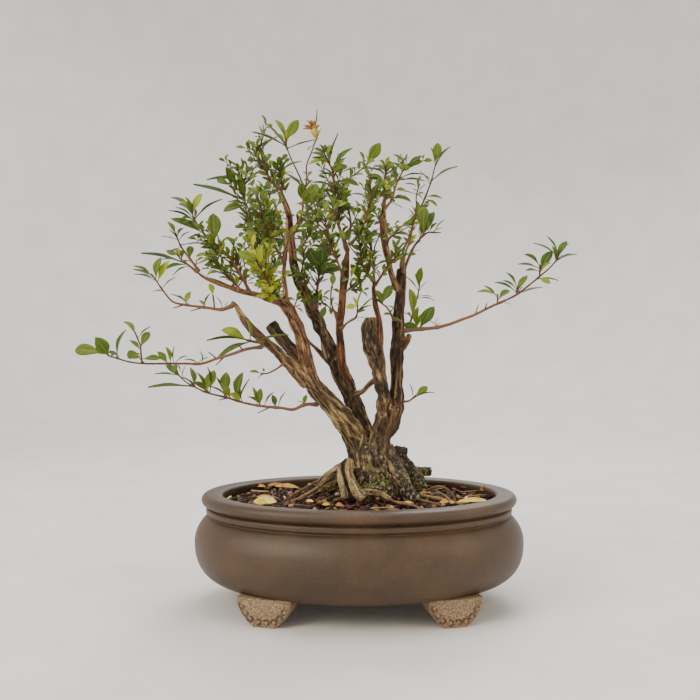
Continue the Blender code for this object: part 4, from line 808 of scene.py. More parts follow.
# How dark, how red and how pale each limb is, and how deeply its bark is split, mm.
LOOKS = {"root_base": (0.45, 0.0, 0.3, 1.6), "dark_lump": (1.0, 0.0, 0.0, 1.3),
    "right_root": (1.0, 0.0, 0.0, 1.4), "cut_root": (0.9, 0.0, 0.0, 0.8),
    "front_right_root": (0.85, 0.0, 0.0, 1.4), "left_root": (0.1, 0.0, 0.6, 0.5),
    "front_left_root": (0.0, 0.0, 0.8, 0.4), "front_root": (0.0, 0.0, 0.85, 0.4),
    "surface_root": (0.1, 0.2, 0.5, 0.4), "left_limb": (0.38, 0.08, 0.5, 1.4),
    "low_left_limb": (0.38, 0.25, 0.3, 0.9), "dead_left_stub": (0.7, 0.12, 0.25, 1.3),
    "red_limb": (0.2, 0.45, 0.4, 0.6), "long_left_branch": (0.15, 0.6, 0.25, 0.3),
    "pale_upright": (0.05, 0.4, 0.65, 0.25), "middle_limb": (0.7, 0.08, 0.28, 1.5),
    "middle_stub": (0.75, 0.1, 0.25, 1.3), "brown_upright": (0.35, 0.5, 0.3, 0.35),
    "red_upright": (0.3, 0.7, 0.05, 0.35), "thin_stick": (0.5, 0.2, 0.3, 0.2),
    "right_limb": (0.5, 0.3, 0.3, 1.4), "knobby_stub": (0.6, 0.15, 0.35, 1.4),
    "right_upright": (0.72, 0.25, 0.2, 1.3), "thin_red_upright": (0.3, 0.7, 0.1, 0.25),
    "yellow_upright": (0.15, 0.4, 0.5, 0.3), "right_short_stub": (0.4, 0.3, 0.3, 0.4),
    "bridge_twig": (0.3, 0.2, 0.5, 0.3),}


def at(right, up, back):
    """A point seen at (right, up) in the trunk's plane, moved back along its line of sight."""
    share = (EYE[1] + back) / EYE[1]
    return Vector((EYE[0] + (right - EYE[0]) * share, back, EYE[2] + (up - EYE[2]) * share))


def smooth_route(route, step):
    """Places and radii every so many mm along the curve through a route."""
    made = []
    for i in range(len(route) - 1):
        near = [route[min(max(i + k, 0), len(route) - 1)] for k in (-1, 0, 1, 2)]
        count = max(round((near[2][0] - near[1][0]).length / step), 1)
        for k in range(count):
            t = k / count
            pull = ((-t + 2 * t * t - t ** 3) / 2, (2 - 5 * t * t + 3 * t ** 3) / 2,
                (t + 4 * t * t - 3 * t ** 3) / 2, (t ** 3 - t * t) / 2)
            place = sum((near[n][0] * pull[n] for n in range(4)), Vector())
            made.append((place, max(sum(near[n][1] * pull[n] for n in range(4)), 0.1)))
    made.append(route[-1])
    return made


def limb_route(name, points):
    """A limb's curve; a living end is drawn in towards the shoots that go on from it."""
    route = smooth_route([(at(*point[:3]), point[3]) for point in points], WOOD_STEP)
    if name not in LIVING_ENDS:
        return route
    last = len(route) - 1
    return [(place, radius * (1 - 0.42 * max(0, 1 - (last - i) * WOOD_STEP / END_TAPER) ** 1.6))
        for i, (place, radius) in enumerate(route)]


def carried_frames(route):
    """For each point of a route its direction and two directions across it, turned as little as can be."""
    places = [place for place, radius in route]
    across = (places[1] - places[0]).orthogonal().normalized()
    frames = []
    for i in range(len(places)):
        along = (places[min(i + 1, len(places) - 1)] - places[max(i - 1, 0)]).normalized()
        across = (across - across.dot(along) * along).normalized()
        frames.append((along, across.copy(), along.cross(across)))
    return frames


def wood_tube(route, sides, knots=0.0, seed=""):
    """A closed tube along a route; knots swell and bend it a little."""
    rings = []
    shift = Vector((random.Random(seed).uniform(0, 90), 0, 0))
    for (place, radius), (along, across, other) in zip(route, carried_frames(route)):
        ring = []
        for k in range(sides):
            angle = 2 * pi * k / sides
            out = cos(angle) * across + sin(angle) * other
            swell = 1 + knots * noise.noise((place + out * radius) * 0.14 + shift)
            ring.append(place + out * radius * swell)
        rings.append(ring)
    return stack(rings)


def wood_samples():
    """Every place along every limb, with its radius, frame, distance along, limb and looks."""
    samples = []
    for number, (name, points) in enumerate({**ROOTS, **LIMBS}.items()):
        route = limb_route(name, points)
        travelled = 0.0
        for i, ((place, radius), frame_there) in enumerate(zip(route, carried_frames(route))):
            if i:
                travelled += (place - route[i - 1][0]).length
            cut = i == len(route) - 1 and name in CUT_ENDS
            samples.append((place, radius, frame_there, travelled, number, name, cut))
    return samples


def nearest_samples(vertices, samples):
    """For each vertex the number of the sample whose surface is nearest to it."""
    places = np.array([sample[0] for sample in samples])
    radii = np.array([sample[1] for sample in samples])
    chosen = np.empty(len(vertices), int)
    for start in range(0, len(vertices), 4000):
        block = vertices[start:start + 4000]
        gaps = np.linalg.norm(block[:, None, :] - places[None, :, :], axis=2) - radii[None, :]
        chosen[start:start + 4000] = gaps.argmin(axis=1)
    return chosen


def blended(numbers, mesh, rounds):
    """Values at a mesh's vertices, averaged with their neighbours' so many times."""
    ends = np.empty(len(mesh.edges) * 2, int)
    mesh.edges.foreach_get("vertices", ends)
    first, second = ends[::2], ends[1::2]
    size = len(numbers)
    count = np.maximum(np.bincount(ends, minlength=size), 1)
    for _ in range(rounds):
        total = np.bincount(first, numbers[second], size) + np.bincount(second, numbers[first], size)
        numbers = (numbers + total / count) / 2
    return numbers


def groove(places, samples, first, second):
    """How near each place is to the seam where two roots lie side by side, 0 to 1."""
    gaps = []
    for name in (first, second):
        middles = np.array([sample[0] for sample in samples if sample[5] == name])
        radii = np.array([sample[1] for sample in samples if sample[5] == name])
        gaps.append((np.linalg.norm(places[:, None, :] - middles[None, :, :], axis=2) - radii).min(axis=1))
    near = np.clip(1 - np.maximum(gaps[0], gaps[1]) / SEAM_REACH, 0, 1)
    return near * np.exp(-((gaps[0] - gaps[1]) / SEAM_WIDTH) ** 2)


def bark(piece, samples):
    """Split the bark lengthwise, and store what its colour is drawn from."""
    mesh = piece.data
    count = len(mesh.vertices)
    flat = np.empty(count * 3)
    mesh.vertices.foreach_get("co", flat)
    places = (flat.reshape(-1, 3) - np.array(POT_MIDDLE)) / MM
    normals = np.empty(count * 3)
    mesh.vertices.foreach_get("normal", normals)
    normals = normals.reshape(-1, 3)
    chosen = nearest_samples(places, samples)
    values = {name: np.zeros(count) for name in ("strips", "split", "moss", "foot", "bare")}
    looks = np.array([LOOKS[samples[i][5]] for i in chosen])
    looks = [blended(looks[:, k], mesh, BLEND_ROUNDS) for k in range(4)]
    grain = np.zeros((count, 3))
    seams = groove(places, samples, "front_left_root", "front_root")
    at_base = blended(np.array([samples[i][5] == "root_base" for i in chosen], float), mesh, 4)
    for i in range(count):
        middle, radius, (along, across, other), travelled, number, name, cut = samples[chosen[i]]
        offset = Vector(places[i]) - middle
        x, y, s = offset.dot(across), offset.dot(other), travelled + offset.dot(along)
        there = Vector((x, y, s * 0.16 + number * 37))
        crack = abs(noise.noise(there * 0.42)) * 1.5 + abs(noise.noise(there * 0.95)) * 0.5
        split = max(0.0, 1 - crack / 0.34)
        strips = noise.noise(Vector((x * 0.75, y * 0.75, s * 0.06 + number * 11)))
        lumps = noise.fractal(Vector(places[i]) * 0.11, 0.9, 2.0, 3)
        fine = noise.noise(Vector((x * 1.3, y * 1.3, s * 0.35)))
        depth = min(looks[3][i], radius * 0.22)
        rise = depth * (0.45 * strips + 0.5 * lumps + 0.22 * fine - 0.9 * split ** 1.5 + 0.12)
        low = min(max(0.0, 1 - (places[i][2] - 62) / 34), 1)
        if radius > 7:
            rise += ROOT_LUMPS * low * noise.noise(Vector(places[i]) * 0.24)
        places[i] += normals[i] * (rise - SEAM_DEPTH * seams[i])
        # The seam between the two front roots is coloured near-black like a crack: painted shade between the
        # roots.
        split = max(split, min(1.6 * seams[i], 1))
        grain[i] = (x, y, s * 0.14 + number * 23)
        mossy = noise.fractal(Vector(places[i]) * 0.12 + Vector((5, 0, 0)), 0.8, 2.0, 3)
        values["strips"][i], values["split"][i], values["foot"][i] = strips, split, low
        values["moss"][i] = min(max((mossy + 0.02 + 0.3 * normals[i][2]) * 2.0, 0), 1) * min(low * 1.4, 1)
        values["bare"][i] = 1.0 if cut and offset.dot(along) > -0.9 else 0.0
    strips = values.pop("strips")
    patches = np.array([noise.noise(Vector(place) * 0.09) for place in places])
    values["dark"] = np.clip(looks[0] + 0.45 * patches - 1.1 * np.maximum(strips - 0.08, 0) + 0.6 * at_base
        * values["foot"], 0, 1)
    values["red"] = looks[1]
    values["pale"] = np.clip(looks[2] + 1.2 * strips, 0, 1)
    values["moss"] *= 1 - 0.7 * looks[2]
    mesh.vertices.foreach_set("co", ((places * MM) + np.array(POT_MIDDLE)).ravel())
    for name, numbers in values.items():
        mesh.attributes.new(name, "FLOAT", "POINT").data.foreach_set("value", numbers)
    mesh.attributes.new("grain", "FLOAT_VECTOR", "POINT").data.foreach_set("vector", grain.ravel())
    mesh.update()


# Pomegranate bark: dull grey-brown, split into narrow plates with near-black cracks, pale straw
# strips where it peels, red-brown and smoother when young, yellow-green moss and lichen at the foot.
bark_surface, tree, shader, coords = new_surface("pomegranate bark", 0.82, 0.3)
grain = add_node(tree, "Attribute", attribute_name="grain")
given = {name: add_node(tree, "Attribute", attribute_name=name).outputs["Fac"]
    for name in ("dark", "red", "pale", "split", "moss", "foot", "bare")}
streaks = add_node(tree, "TexNoise", {"Vector": grain.outputs["Vector"], "Scale": 1 / 1.1, "Detail": 6.0,
    "Roughness": 0.75})
specks = add_node(tree, "TexNoise", {"Vector": coords, "Scale": 1000 / 1.1, "Detail": 4.0})
brown, straw, rust, black = [add_node(tree, "ValToRGB", {"Fac": streaks}, stops)
    for stops in ([(0.3, "18100A"), (0.72, "98845F"), (0.46, "3E2F22"), (0.6, "695540")],
    [(0.32, "4F3C20"), (0.7, "DCC898"), (0.5, "A48A5A")], [(0.3, "331710"), (0.75, "B27A4A"),
    (0.5, "7A4325")], [(0.34, "0B0705"), (0.76, "857258"), (0.56, "281D15")])]
green = add_node(tree, "ValToRGB", {"Fac": specks}, [(0.3, "24230D"), (0.72, "98904A"), (0.52, "5C5822")])
patchy = add_node(tree, "Math", {0: given["moss"], 1: specks, 2: 0.25}, operation="MULTIPLY_ADD")
edge = add_node(tree, "MapRange", {"Value": patchy, "From Min": 0.38, "From Max": 0.62})
flecks = add_node(tree, "TexNoise", {"Vector": coords, "Scale": 1000 / 1.7, "Detail": 3.0})
crusts = add_node(tree, "ValToRGB", {"Fac": flecks}, [(0.36, "0C0906"), (0.68, "B8B29A"), (0.44, "2B2216"),
    (0.56, "4A4226")])
off_middle = add_node(tree, "Math", {0: flecks, 1: 0.5}, operation="SUBTRACT")
either_way = add_node(tree, "Math", {0: off_middle}, operation="ABSOLUTE")
crusted = add_node(tree, "MapRange", {"Value": either_way, "From Min": 0.03, "From Max": 0.08,
    "To Max": 0.85})
at_foot = add_node(tree, "Math", {0: crusted, 1: given["foot"]}, operation="MULTIPLY")
# Near-black in the bark's cracks, and as painted shade along the seam between the two front roots.
cracks_and_seam_shade = add_node(tree, "MapRange", {"Value": given["split"], "From Min": 0.1, "From Max": 0.7,
    "To Max": 0.92})
colour = brown
for share, over in ((given["pale"], straw), (given["red"], rust), (given["dark"], black),
        (given["bare"], linear("7D6B52")), (edge, green), (at_foot, crusts), (cracks_and_seam_shade, linear("100A06"))):
    colour = add_node(tree, "MixRGB", {"Fac": share, "Color1": colour, "Color2": over})
rough = add_node(tree, "Math", {0: streaks, 1: specks}, operation="ADD")
finish_surface(tree, shader, colour, rough, 0.6)

samples = wood_samples()
points, faces = [], []
for name, places in {**ROOTS, **LIMBS}.items():
    knots = 0.45 if name in ("knobby_stub", "dead_left_stub", "middle_stub") else 0.22
    limb_points, limb_faces = wood_tube(limb_route(name, places), 40 if name == "root_base" else 24, knots,
        name)
    faces += [[len(points) + i for i in face] for face in limb_faces]
    points += limb_points
trunk = add_mesh("trunk_wood", points, faces, bark_surface)
grid = trunk.modifiers.new("grow together", "REMESH")
grid.mode = "VOXEL"
grid.voxel_size = WOOD_GRID * MM
grid.use_smooth_shade = True
soften = trunk.modifiers.new("soften", "SMOOTH")
soften.factor = 0.5
soften.iterations = 3
applied(trunk)
if not trunk.data.materials:
    trunk.data.materials.append(bark_surface)
bark(trunk, samples)
hand_over(trunk, "bark", "trunk")

# The leafy shoots. Each is one thin red-brown twig that leaves a limb, with short bare spurs and
# tufts of small opposite leaves: oblong, smooth-edged, folded along the midrib, on short stalks.
TWIG_TIP = 0.7
SIDE_TWIG = 0.5
LEAF_SPACING = 0.75
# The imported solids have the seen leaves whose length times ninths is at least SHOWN, and this many of
# a tuft placed by rule. Of the ATTEMPTS places drawn for a leaf, the first clear one is taken.
SHOWN = 30
RULE_LEAVES = 1
ATTEMPTS = 30
TWIG_SIDES = 8
SAME_PLACE = 0.06
LEAF_FORMS = 8
SPUR_SPACING = 22.0
SPUR_LENGTHS = {True: (7, 17), False: (3.5, 8)}
SPUR_LEAF = (6, 9)
TWIG_STEP = 1.6
POINT_VALUES = {"is_leaf": "BOOLEAN", "thick": "FLOAT", "form": "INT", "age": "FLOAT", "tint": "FLOAT",
    "along": "FLOAT_VECTOR", "upper": "FLOAT_VECTOR", "span": "FLOAT_VECTOR"}
ROOT_REACH = 4.0
MORE_LEAVES = 2
CROWN_SIDES = (-80, 22)
CROWN_BASE = 176
BARE_SHOOTS = ("tall_thin_shoot", "flower_shoot", "far_left_shoot")
BRIGHT_SHOOTS = ("fork_leaf_shoot", "bright_shoot", "bright_inner_left_shoot", "stick_end_shoot")
FILL_LENGTH = 8.5
FILL_LEAVES = {True: 3, False: 2}
SIDE_SPACING = {True: 4.0, False: 9.0}
# Root radius, points (right, up, back) of the twig, its tufts (right, up, leaf length, leaves) and its
# side twigs: leaves is a number, or the tips as seen, (right, up, ninths of the face that shows).
SHOOTS = {
    "far_left_shoot": (1.2, [(-78, 179, -30), (-84, 177, -33), (-92, 178, -36), (-100, 179, -39),
        (-107, 180, -42), (-114, 182, -45), (-120, 189, -48), (-124, 195, -50), (-127, 199, -51)],
        [(-126, 198, 12, [(-138, 204, 4), (-138, 202, 3), (-121, 209, 6), (-137, 199, 2), (-116, 207, 6)]),
        (-120, 190, 9, [(-112, 197, 2), (-126, 188, 2)]), (-106, 180, 7,
        [(-103, 188, 7), (-110, 186, 3), (-115, 187, 1)]), (-95, 178, 9, [(-91, 187, 4), (-98, 183, 6)]),
        (-89, 185.5, 8, [(-91, 193, 8)]), (-84, 177, 6, [(-87, 185, 2), (-80, 182, 3)])],
        [(-88.3, 177.8, -34.5), (-88.6, 182, -35), (-89.2, 186, -36)]),
    "upper_left_fork_shoot": (1, [(-98, 201, -31), (-104, 209, -33), (-109, 216, -35), (-111, 221, -36),
        (-112, 224, -37)], [(-111, 223, 10, [(-117, 231, 6), (-107, 227, 4), (-121, 222, 2), (-103, 225, 2),
        (-116, 226, 3)]), (-109, 216, 13, [(-94, 218, 2), (-115, 212, 3)]),
        (-103, 208, 9, [(-103, 216, 9), (-109, 206, 3)])]),
    "left_fork_shoot": (1, [(-99, 200, -30), (-104, 204, -32), (-109, 208, -34), (-111, 211, -35)],
        [(-110, 210, 8, [(-118, 213, 8), (-111, 214, 9), (-107, 214, 6), (-121, 208, 3)]),
        (-107, 205, 16, [(-133, 212, 2), (-120, 201, 4), (-114, 198, 3)])]),
    "high_left_shoot": (1.2, [(-67, 188, -18), (-71, 196, -23), (-77, 206, -27), (-85, 215, -30),
        (-92, 220, -32), (-97, 227, -34), (-101, 233, -36), (-102, 238, -37)],
        [(-102, 238, 13, [(-115, 246, 4), (-96, 248, 6), (-110, 242, 4), (-106, 246, 5), (-112, 240, 2)]),
        (-100, 233, 16, [(-84, 245, 2), (-116, 238, 1), (-108, 230, 2)]),
        (-94, 223, 16, [(-115, 233, 5), (-105, 221, 2)]), (-88, 218, 12,
        [(-89, 236, 9), (-95, 219, 7), (-103, 218, 2), (-80, 221, 3), (-97, 215, 6)]), (-81, 210, 10, 7)]),
    "left_inner_shoot": (1, [(-73, 189, -26), (-77, 195, -20), (-84, 202, -15), (-88, 208, -12),
        (-90, 213, -10)], [(-89, 211, 9, [(-95, 212, 5), (-95, 207, 4), (-99, 205, 3), (-91, 218, 5),
        (-84, 215, 5)]), (-84, 202, 9, 6), (-77, 195, 7, 5)]),
    "left_crown_shoot": (1.2, [(-59, 185, -19), (-59, 195, -3), (-62, 206, 5), (-63, 216, 12), (-67, 227, 17),
        (-69, 238, 20), (-70, 247, 22), (-71, 256, 22), (-72, 262, 22)],
        [(-72, 262, 9, [(-81, 269, 4), (-72, 270, 4), (-78, 265, 3), (-79, 262, 2), (-71, 265, 2)]),
        (-71, 255, 13, [(-93, 257, 2), (-59, 263, 3), (-62, 259, 2)]), (-70, 244, 16,
        [(-101, 254, 2), (-74, 258, 7), (-80, 243, 5), (-83, 237, 7), (-62, 250, 4)]),
        (-79, 253, 9, [(-87, 256.5, 8), (-81, 264.5, 7)]), (-67, 230, 10, 8), (-63, 218, 10, 7)],
        [(-70.3, 243.5, 21), (-74, 247, 20.5), (-77, 250.5, 20), (-79, 253, 20)]),
    "crown_peak_left_shoot": (1.2, [(-49, 251, 5), (-54, 256, 3), (-57, 262, 2), (-59, 266, 0), (-62, 272, 0),
        (-63, 276, 0)], [(-63, 276, 9, [(-68, 279, 4), (-59, 283, 5), (-57, 280, 4), (-50, 283, 3)]),
        (-59, 265, 10, [(-67, 261, 3), (-57, 269, 6), (-63, 265, 5), (-69, 257, 3)]), (-55, 257, 9, 8)]),
    "crown_peak_shoot": (1.2, [(-46, 251, 7), (-48, 257, 8), (-49, 262, 10), (-50, 265, 10)],
        [(-49, 264, 10, [(-50, 269, 7), (-45, 267, 5), (-35, 268, 3), (-40, 261, 3), (-54, 268, 5)]),
        (-48, 256, 9, 7)]),
    "tall_thin_shoot": (1.1, [(-41, 221, 10), (-37, 228, 17), (-32, 236, 20), (-33, 246, 22), (-35, 255, 22),
        (-38, 262, 22), (-41, 268, 22), (-44, 276, 20), (-45, 282, 20)],
        [(-45, 282, 12, [(-51, 293, 5), (-37, 293, 8), (-52, 285, 6), (-58, 292, 1), (-43, 288, 6)]),
        (-44, 277, 17, [(-65, 286, 2), (-27, 281, 2), (-49, 283, 3)]), (-34, 254, 10,
        [(-35, 254, 5), (-42, 258, 5), (-46, 261, 3)]), (-32, 241, 12, [(-36, 254, 9), (-26, 254, 9),
        (-38, 242, 5), (-21, 249, 4), (-18, 244, 3)]), (-35, 230, 9, 7)]),
    "flower_shoot": (0.9, [(-40, 226, 3), (-35, 235, 0), (-34, 245, -3), (-32, 256, -5), (-32, 265, -5),
        (-29, 273, -3), (-27, 279, -3), (-26, 281, -3)], [(-27, 279, 6, [(-23, 288, 2), (-32, 274, 3)]),
        (-33, 250, 8, 5)]),
    "crown_middle_shoot": (1.4, [(-8, 215, -2), (-11, 224, -5), (-14, 234, -7), (-15, 244, -8),
        (-15, 252, -10), (-16, 261, -12), (-19, 268, -14), (-21, 272, -14)],
        [(-20, 271, 10, [(-24, 278, 4), (-17, 278, 5), (-29, 273, 5), (-31, 266, 4), (-13, 285, 2),
        (-29, 270, 4)]), (-17, 263, 12, [(-4, 276, 5), (-10, 266, 8), (-8, 270, 6), (-7, 265, 6),
        (-24, 260, 4)]), (-15, 255, 13, [(0, 253, 5), (-21, 256, 2), (-29, 255, 3)]),
        (-15, 249, 7, [(-10, 252, 5), (-23, 251, 4), (-20, 246, 5), (-9, 247, 4)]), (-13, 233, 9, 5)]),
    "big_leaf_shoot": (0.9, [(-6, 222, 3), (-5, 230, 7), (-7, 240, 12), (-11, 249, 14), (-8, 255, 15),
        (-2, 260, 15), (2, 263, 15), (5, 266, 15)], [(5, 266, 12, [(13, 279, 9), (10, 268, 4), (-11, 261, 3),
        (17, 260, 2)]), (-10, 248, 6, [(-4, 246, 3), (-14, 253, 5)]), (-7, 238, 9,
        [(-13, 235, 7), (2, 238, 6), (-15, 229, 2)]), (-5, 228, 9, [(-8, 219, 8), (3, 230, 3)])]),
    "middle_right_shoot": (1.2, [(-5, 217, -5), (-1, 222, -10), (3, 229, -14), (5, 236, -15), (7, 245, -17),
        (7, 254, -17), (7, 260, -17)], [(7, 246, 9, [(4, 253, 7), (-5, 248, 2), (13, 250, 8), (2, 244, 3),
        (12, 254, 5)]), (5, 237, 9, 8), (2, 226, 8, 6)]),
    "right_crown_shoot": (1.3, [(15, 241, 0), (16, 247, -3), (16, 254, -5), (16, 259, -7), (18, 263, -7)],
        [(17, 262, 10, [(9, 265, 4), (12, 266, 5), (16, 266, 5), (21, 267, 5), (4, 258, 5)]),
        (16, 256, 11, [(5, 258, 6), (10, 254, 5), (24, 254, 5)]), (16, 249, 9, 6)]),
    "right_fan_shoot": (1.1, [(16, 239, 3), (20, 244, 8), (22, 251, 12), (24, 256, 14), (27, 262, 15),
        (30, 266, 15)], [(29, 265, 11, [(21, 272, 5), (39, 271, 5), (39, 268, 5), (28, 270, 4), (20, 267, 4),
        (25, 265, 6)]), (25, 257, 13, [(40, 260, 1), (40, 256, 2), (19, 262, 6)]),
        (20, 245, 12, [(32, 243, 4), (26, 247, 3), (27, 239, 1)])]),
    "right_tip_shoot": (1.2, [(26, 205, 14), (27, 213, 17), (31, 222, 20), (34, 232, 22), (38, 240, 22),
        (41, 247, 22), (44, 255, 20), (46, 263, 20), (48, 268, 20)], [(48, 267, 12,
        [(48, 279, 9), (56, 277, 3), (44, 276, 4)]), (44, 255, 13, [(60, 265, 2), (40, 259, 3),
        (37, 262, 2)]), (41, 246, 9, [(51, 245, 5), (48, 240, 4), (35, 248, 3), (43, 241, 6)]),
        (35, 235, 8, 6)]),
    "right_small_shoot": (0.9, [(27, 201, 5), (28, 210, -7), (31, 219, -12), (33, 228, -15), (35, 238, -17),
        (35, 246, -19), (37, 254, -20)], [(37, 252, 8, [(28, 254, 3), (38, 259, 4), (32, 251, 3),
        (41, 254, 3), (24, 250, 2), (40, 248, 4)]), (35, 236, 7, [(30, 233, 2), (32, 241, 3), (40, 240, 6)]),
        (31, 219, 7, 4)]),
    "red_right_shoot": (1.3, [(27, 200, 10), (31, 210, 5), (34, 216, 0), (38, 221, -3), (42, 224, -5),
        (46, 224, -7), (50, 224, -7)], [(46, 224, 8, [(52, 232, 2), (51, 227, 3), (48, 230, 4),
        (43, 231, 5)]), (40, 222, 10, [(40, 240, 8), (46, 237, 8), (43, 234, 6), (37, 229, 3)]),
        (32, 212, 7, [(38, 214, 2), (25, 214, 3)])]),
    "whorl_left_shoot": (1, [(8, 195, -7), (4, 200, -14), (2, 205, -15), (1, 212, -17), (0, 219, -17),
        (-1, 224, -17)], [(-1, 224, 7, [(-5, 226, 4), (2, 229, 5), (-4, 219, 5), (4, 222, 4)]),
        (1, 211, 8, 6), (4, 202, 7, 4)]),
    "whorl_middle_shoot": (1, [(9, 195, -5), (9, 204, 0), (8, 210, 2), (7, 216, 2), (7, 222, 2)],
        [(7, 221, 7, [(4, 227, 6), (10, 226, 6), (12, 221, 3), (2, 222, 3)]),
        (8, 210, 9, [(14, 210, 2), (12, 222, 2), (3, 206, 2)]), (9, 204, 7, 4)]),
    "whorl_right_shoot": (1, [(10, 192, -5), (14, 198, -10), (17, 203, -14), (20, 207, -15), (23, 209, -17),
        (24, 212, -19)], [(24, 211, 6, [(19, 215, 2), (28, 215, 2), (23, 218, 2)]),
        (20, 207, 9, [(10, 204, 5), (23, 206, 7), (18, 210, 5)]), (14, 200, 7, 4)]),
    "arched_leaf_shoot": (0.9, [(17, 217, -3), (19, 221, -10), (22, 223, -15), (24, 226, -17)],
        [(23, 224, 8, [(27, 227, 3), (29, 223, 5), (19, 228, 3), (17, 224, 5)]), (20, 221, 7, 4)]),
    "right_inner_shoot": (0.9, [(21, 171, 2), (18, 177, -7), (15, 180, -12), (12, 182, -15)],
        [(14, 181, 10, [(20, 192, 8), (10, 189, 7), (22, 178, 3), (7, 184, 4)]),
        (20, 174, 7, [(15, 174, 6), (26, 169, 5)])]),
    "low_right_inner_shoot": (0.9, [(-9, 188, -5), (-4, 190, -10), (-1, 192, -14), (1, 196, -15)],
        [(1, 196, 9, [(3, 194, 7), (-5, 205, 7), (2, 201, 6), (-2, 206, 5)]), (-4, 190, 7, 4)]),
    "bright_shoot": (1, [(-10, 166, -2), (-7, 169, -10), (-2, 172, -15), (-1, 177, -19), (-1, 180, -20)],
        [(-1, 180, 9, [(-8, 178, 8), (-4, 185, 6), (2, 189, 3), (8, 180, 3), (9, 185, 3), (4, 177, 5)]),
        (-2, 173, 7, [(-7, 169, 3), (5, 172, 3), (2, 169, 2)])]),
    "left_of_upright_shoot": (0.9, [(-13, 174, 0), (-16, 177, -7), (-19, 179, -10), (-21, 181, -12)],
        [(-20, 180, 8, [(-23, 172, 8), (-24, 181, 6), (-17, 174, 6), (-15, 185, 5)])]),
    "broad_leaf_shoot": (1.5, [(-26, 179, 14), (-26, 186, 5), (-25, 193, 0), (-24, 200, -5), (-23, 203, -7)],
        [(-24, 201, 15, [(-21, 219, 9), (-31, 215, 8), (-10, 202, 6), (-35, 206, 5), (-27, 210, 6),
        (-17, 206, 7)]), (-25, 193, 7, [(-18, 196, 3), (-31, 197, 3)])]),
    "round_leaf_shoot": (0.9, [(-13, 169, 0), (-15, 175, -12), (-17, 182, -19), (-17, 189, -22),
        (-16, 191, -22)], [(-16, 191, 8, [(-16, 199, 9), (-12, 188, 6), (-20, 188, 5)]),
        (-17, 182, 7, [(-23, 185, 6), (-12, 179, 2)])]),
    "dark_twig_shoot": (1, [(-31, 186, 15), (-33, 194, 7), (-35, 200, 0), (-34, 206, -5), (-34, 212, -8)],
        [(-34, 211, 7, [(-37, 217, 4), (-31, 216, 5), (-38, 212, 4)]), (-35, 200, 7,
        [(-40, 198, 3), (-29, 204, 5), (-42, 204, 4)]), (-33, 194, 7, 4)]),
    "stick_end_shoot": (0.9, [(-39, 174, 24), (-40, 177, 15), (-39, 180, 5), (-38, 183, -2)],
        [(-38, 183, 8, [(-45, 183, 5), (-34, 185, 4), (-35, 189, 4)]), (-40, 179, 7,
        [(-34, 175, 5), (-44, 174, 3), (-35, 180, 4)])]),
    "bright_inner_left_shoot": (1.2, [(-49, 184, -20), (-53, 190, -32), (-57, 197, -41), (-61, 204, -48),
        (-63, 208, -51)], [(-62, 207, 12, [(-74, 212, 8), (-67, 215, 7), (-59, 214, 7), (-56, 208, 6),
        (-70, 206, 7)]), (-57, 197, 10, 7), (-53, 190, 9, 6)]),
    "red_inner_left_shoot": (1.3, [(-48, 183, -5), (-53, 193, 5), (-56, 202, 14), (-57, 212, 19),
        (-59, 221, 22), (-60, 227, 24)], [(-60, 226, 10, [(-68, 232, 6), (-63, 235, 6), (-54, 232, 6),
        (-65, 226, 5), (-54, 224, 4)]), (-58, 216, 9, 7), (-56, 201, 9, 7)]),
    "front_left_crown_shoot": (1.1, [(-46, 206, -7), (-51, 215, -20), (-56, 224, -31), (-59, 234, -37),
        (-61, 243, -41), (-62, 247, -42)], [(-62, 247, 9, [(-68, 251, 5), (-63, 254, 6), (-57, 251, 5),
        (-68, 244, 6), (-54, 245, 6)]), (-59, 235, 10, 8), (-54, 222, 9, 7)]),
    "back_left_crown_shoot": (1.1, [(-43, 213, 12), (-46, 221, 27), (-51, 228, 37), (-54, 236, 44),
        (-57, 244, 48), (-58, 250, 49)], [(-58, 249, 9, 5), (-54, 237, 9, 7), (-48, 224, 9, 6)]),
    "back_middle_shoot": (1.1, [(-40, 212, 12), (-34, 217, 27), (-30, 224, 37), (-27, 233, 46),
        (-25, 241, 51), (-24, 249, 53)], [(-24, 248, 9, 5), (-27, 233, 9, 7), (-32, 221, 9, 5)]),
    "front_middle_shoot": (1, [(-10, 197, -5), (-13, 206, -20), (-17, 216, -31), (-20, 226, -37),
        (-21, 234, -41)], [(-21, 233, 9, 5), (-18, 221, 9, 5), (-14, 208, 7, 4)]),
    "back_right_crown_shoot": (1.1, [(16, 219, 7), (15, 226, 22), (12, 232, 34), (9, 239, 42), (7, 245, 46)],
        [(7, 244, 9, 5), (12, 234, 9, 6)]),
    "fork_leaf_shoot": (1, [(-59, 157, -27), (-63, 157, -31), (-67, 158, -34), (-69, 158, -35)],
        [(-68, 158, 16, [(-84, 165, 6), (-68, 171, 5), (-93, 159, 1), (-87, 148, 5)]),
        (-65, 157, 22, [(-43, 162, 3)])]),
    "low_left_long_shoot": (1.2, [(-60, 154, -24), (-68, 153, -31), (-77, 150, -37), (-87, 147, -42),
        (-96, 144, -46), (-106, 144, -49), (-118, 144, -52), (-131, 144, -55), (-140, 145, -57),
        (-147, 147, -59), (-153, 149, -60), (-155, 151, -60)], [(-154, 150, 20,
        [(-174, 152, 7), (-161, 160, 9), (-152, 152, 3)]), (-148, 147, 18, [(-143, 165, 4), (-153, 151, 3)]),
        (-136, 161, 13, [(-144, 170, 5), (-127, 167, 2)]), (-133.3, 154, 11,
        [(-128, 163.5, 8), (-140, 158.5, 6)]), (-133, 150, 10, [(-142, 149, 8), (-138, 147, 5),
        (-121, 147, 6)]), (-118, 144, 10, [(-123, 151.5, 7), (-118, 154.5, 6), (-113, 155, 3), (-105, 149, 2),
        (-113, 138, 8), (-109, 139, 3)]), (-99, 144, 8, [(-92, 148, 2), (-107, 147, 3), (-97, 152, 3)])],
        [(-132.6, 144, -55), (-133, 149, -56), (-133.4, 155, -57), (-135.5, 160, -58), (-137, 163.5, -58)]),
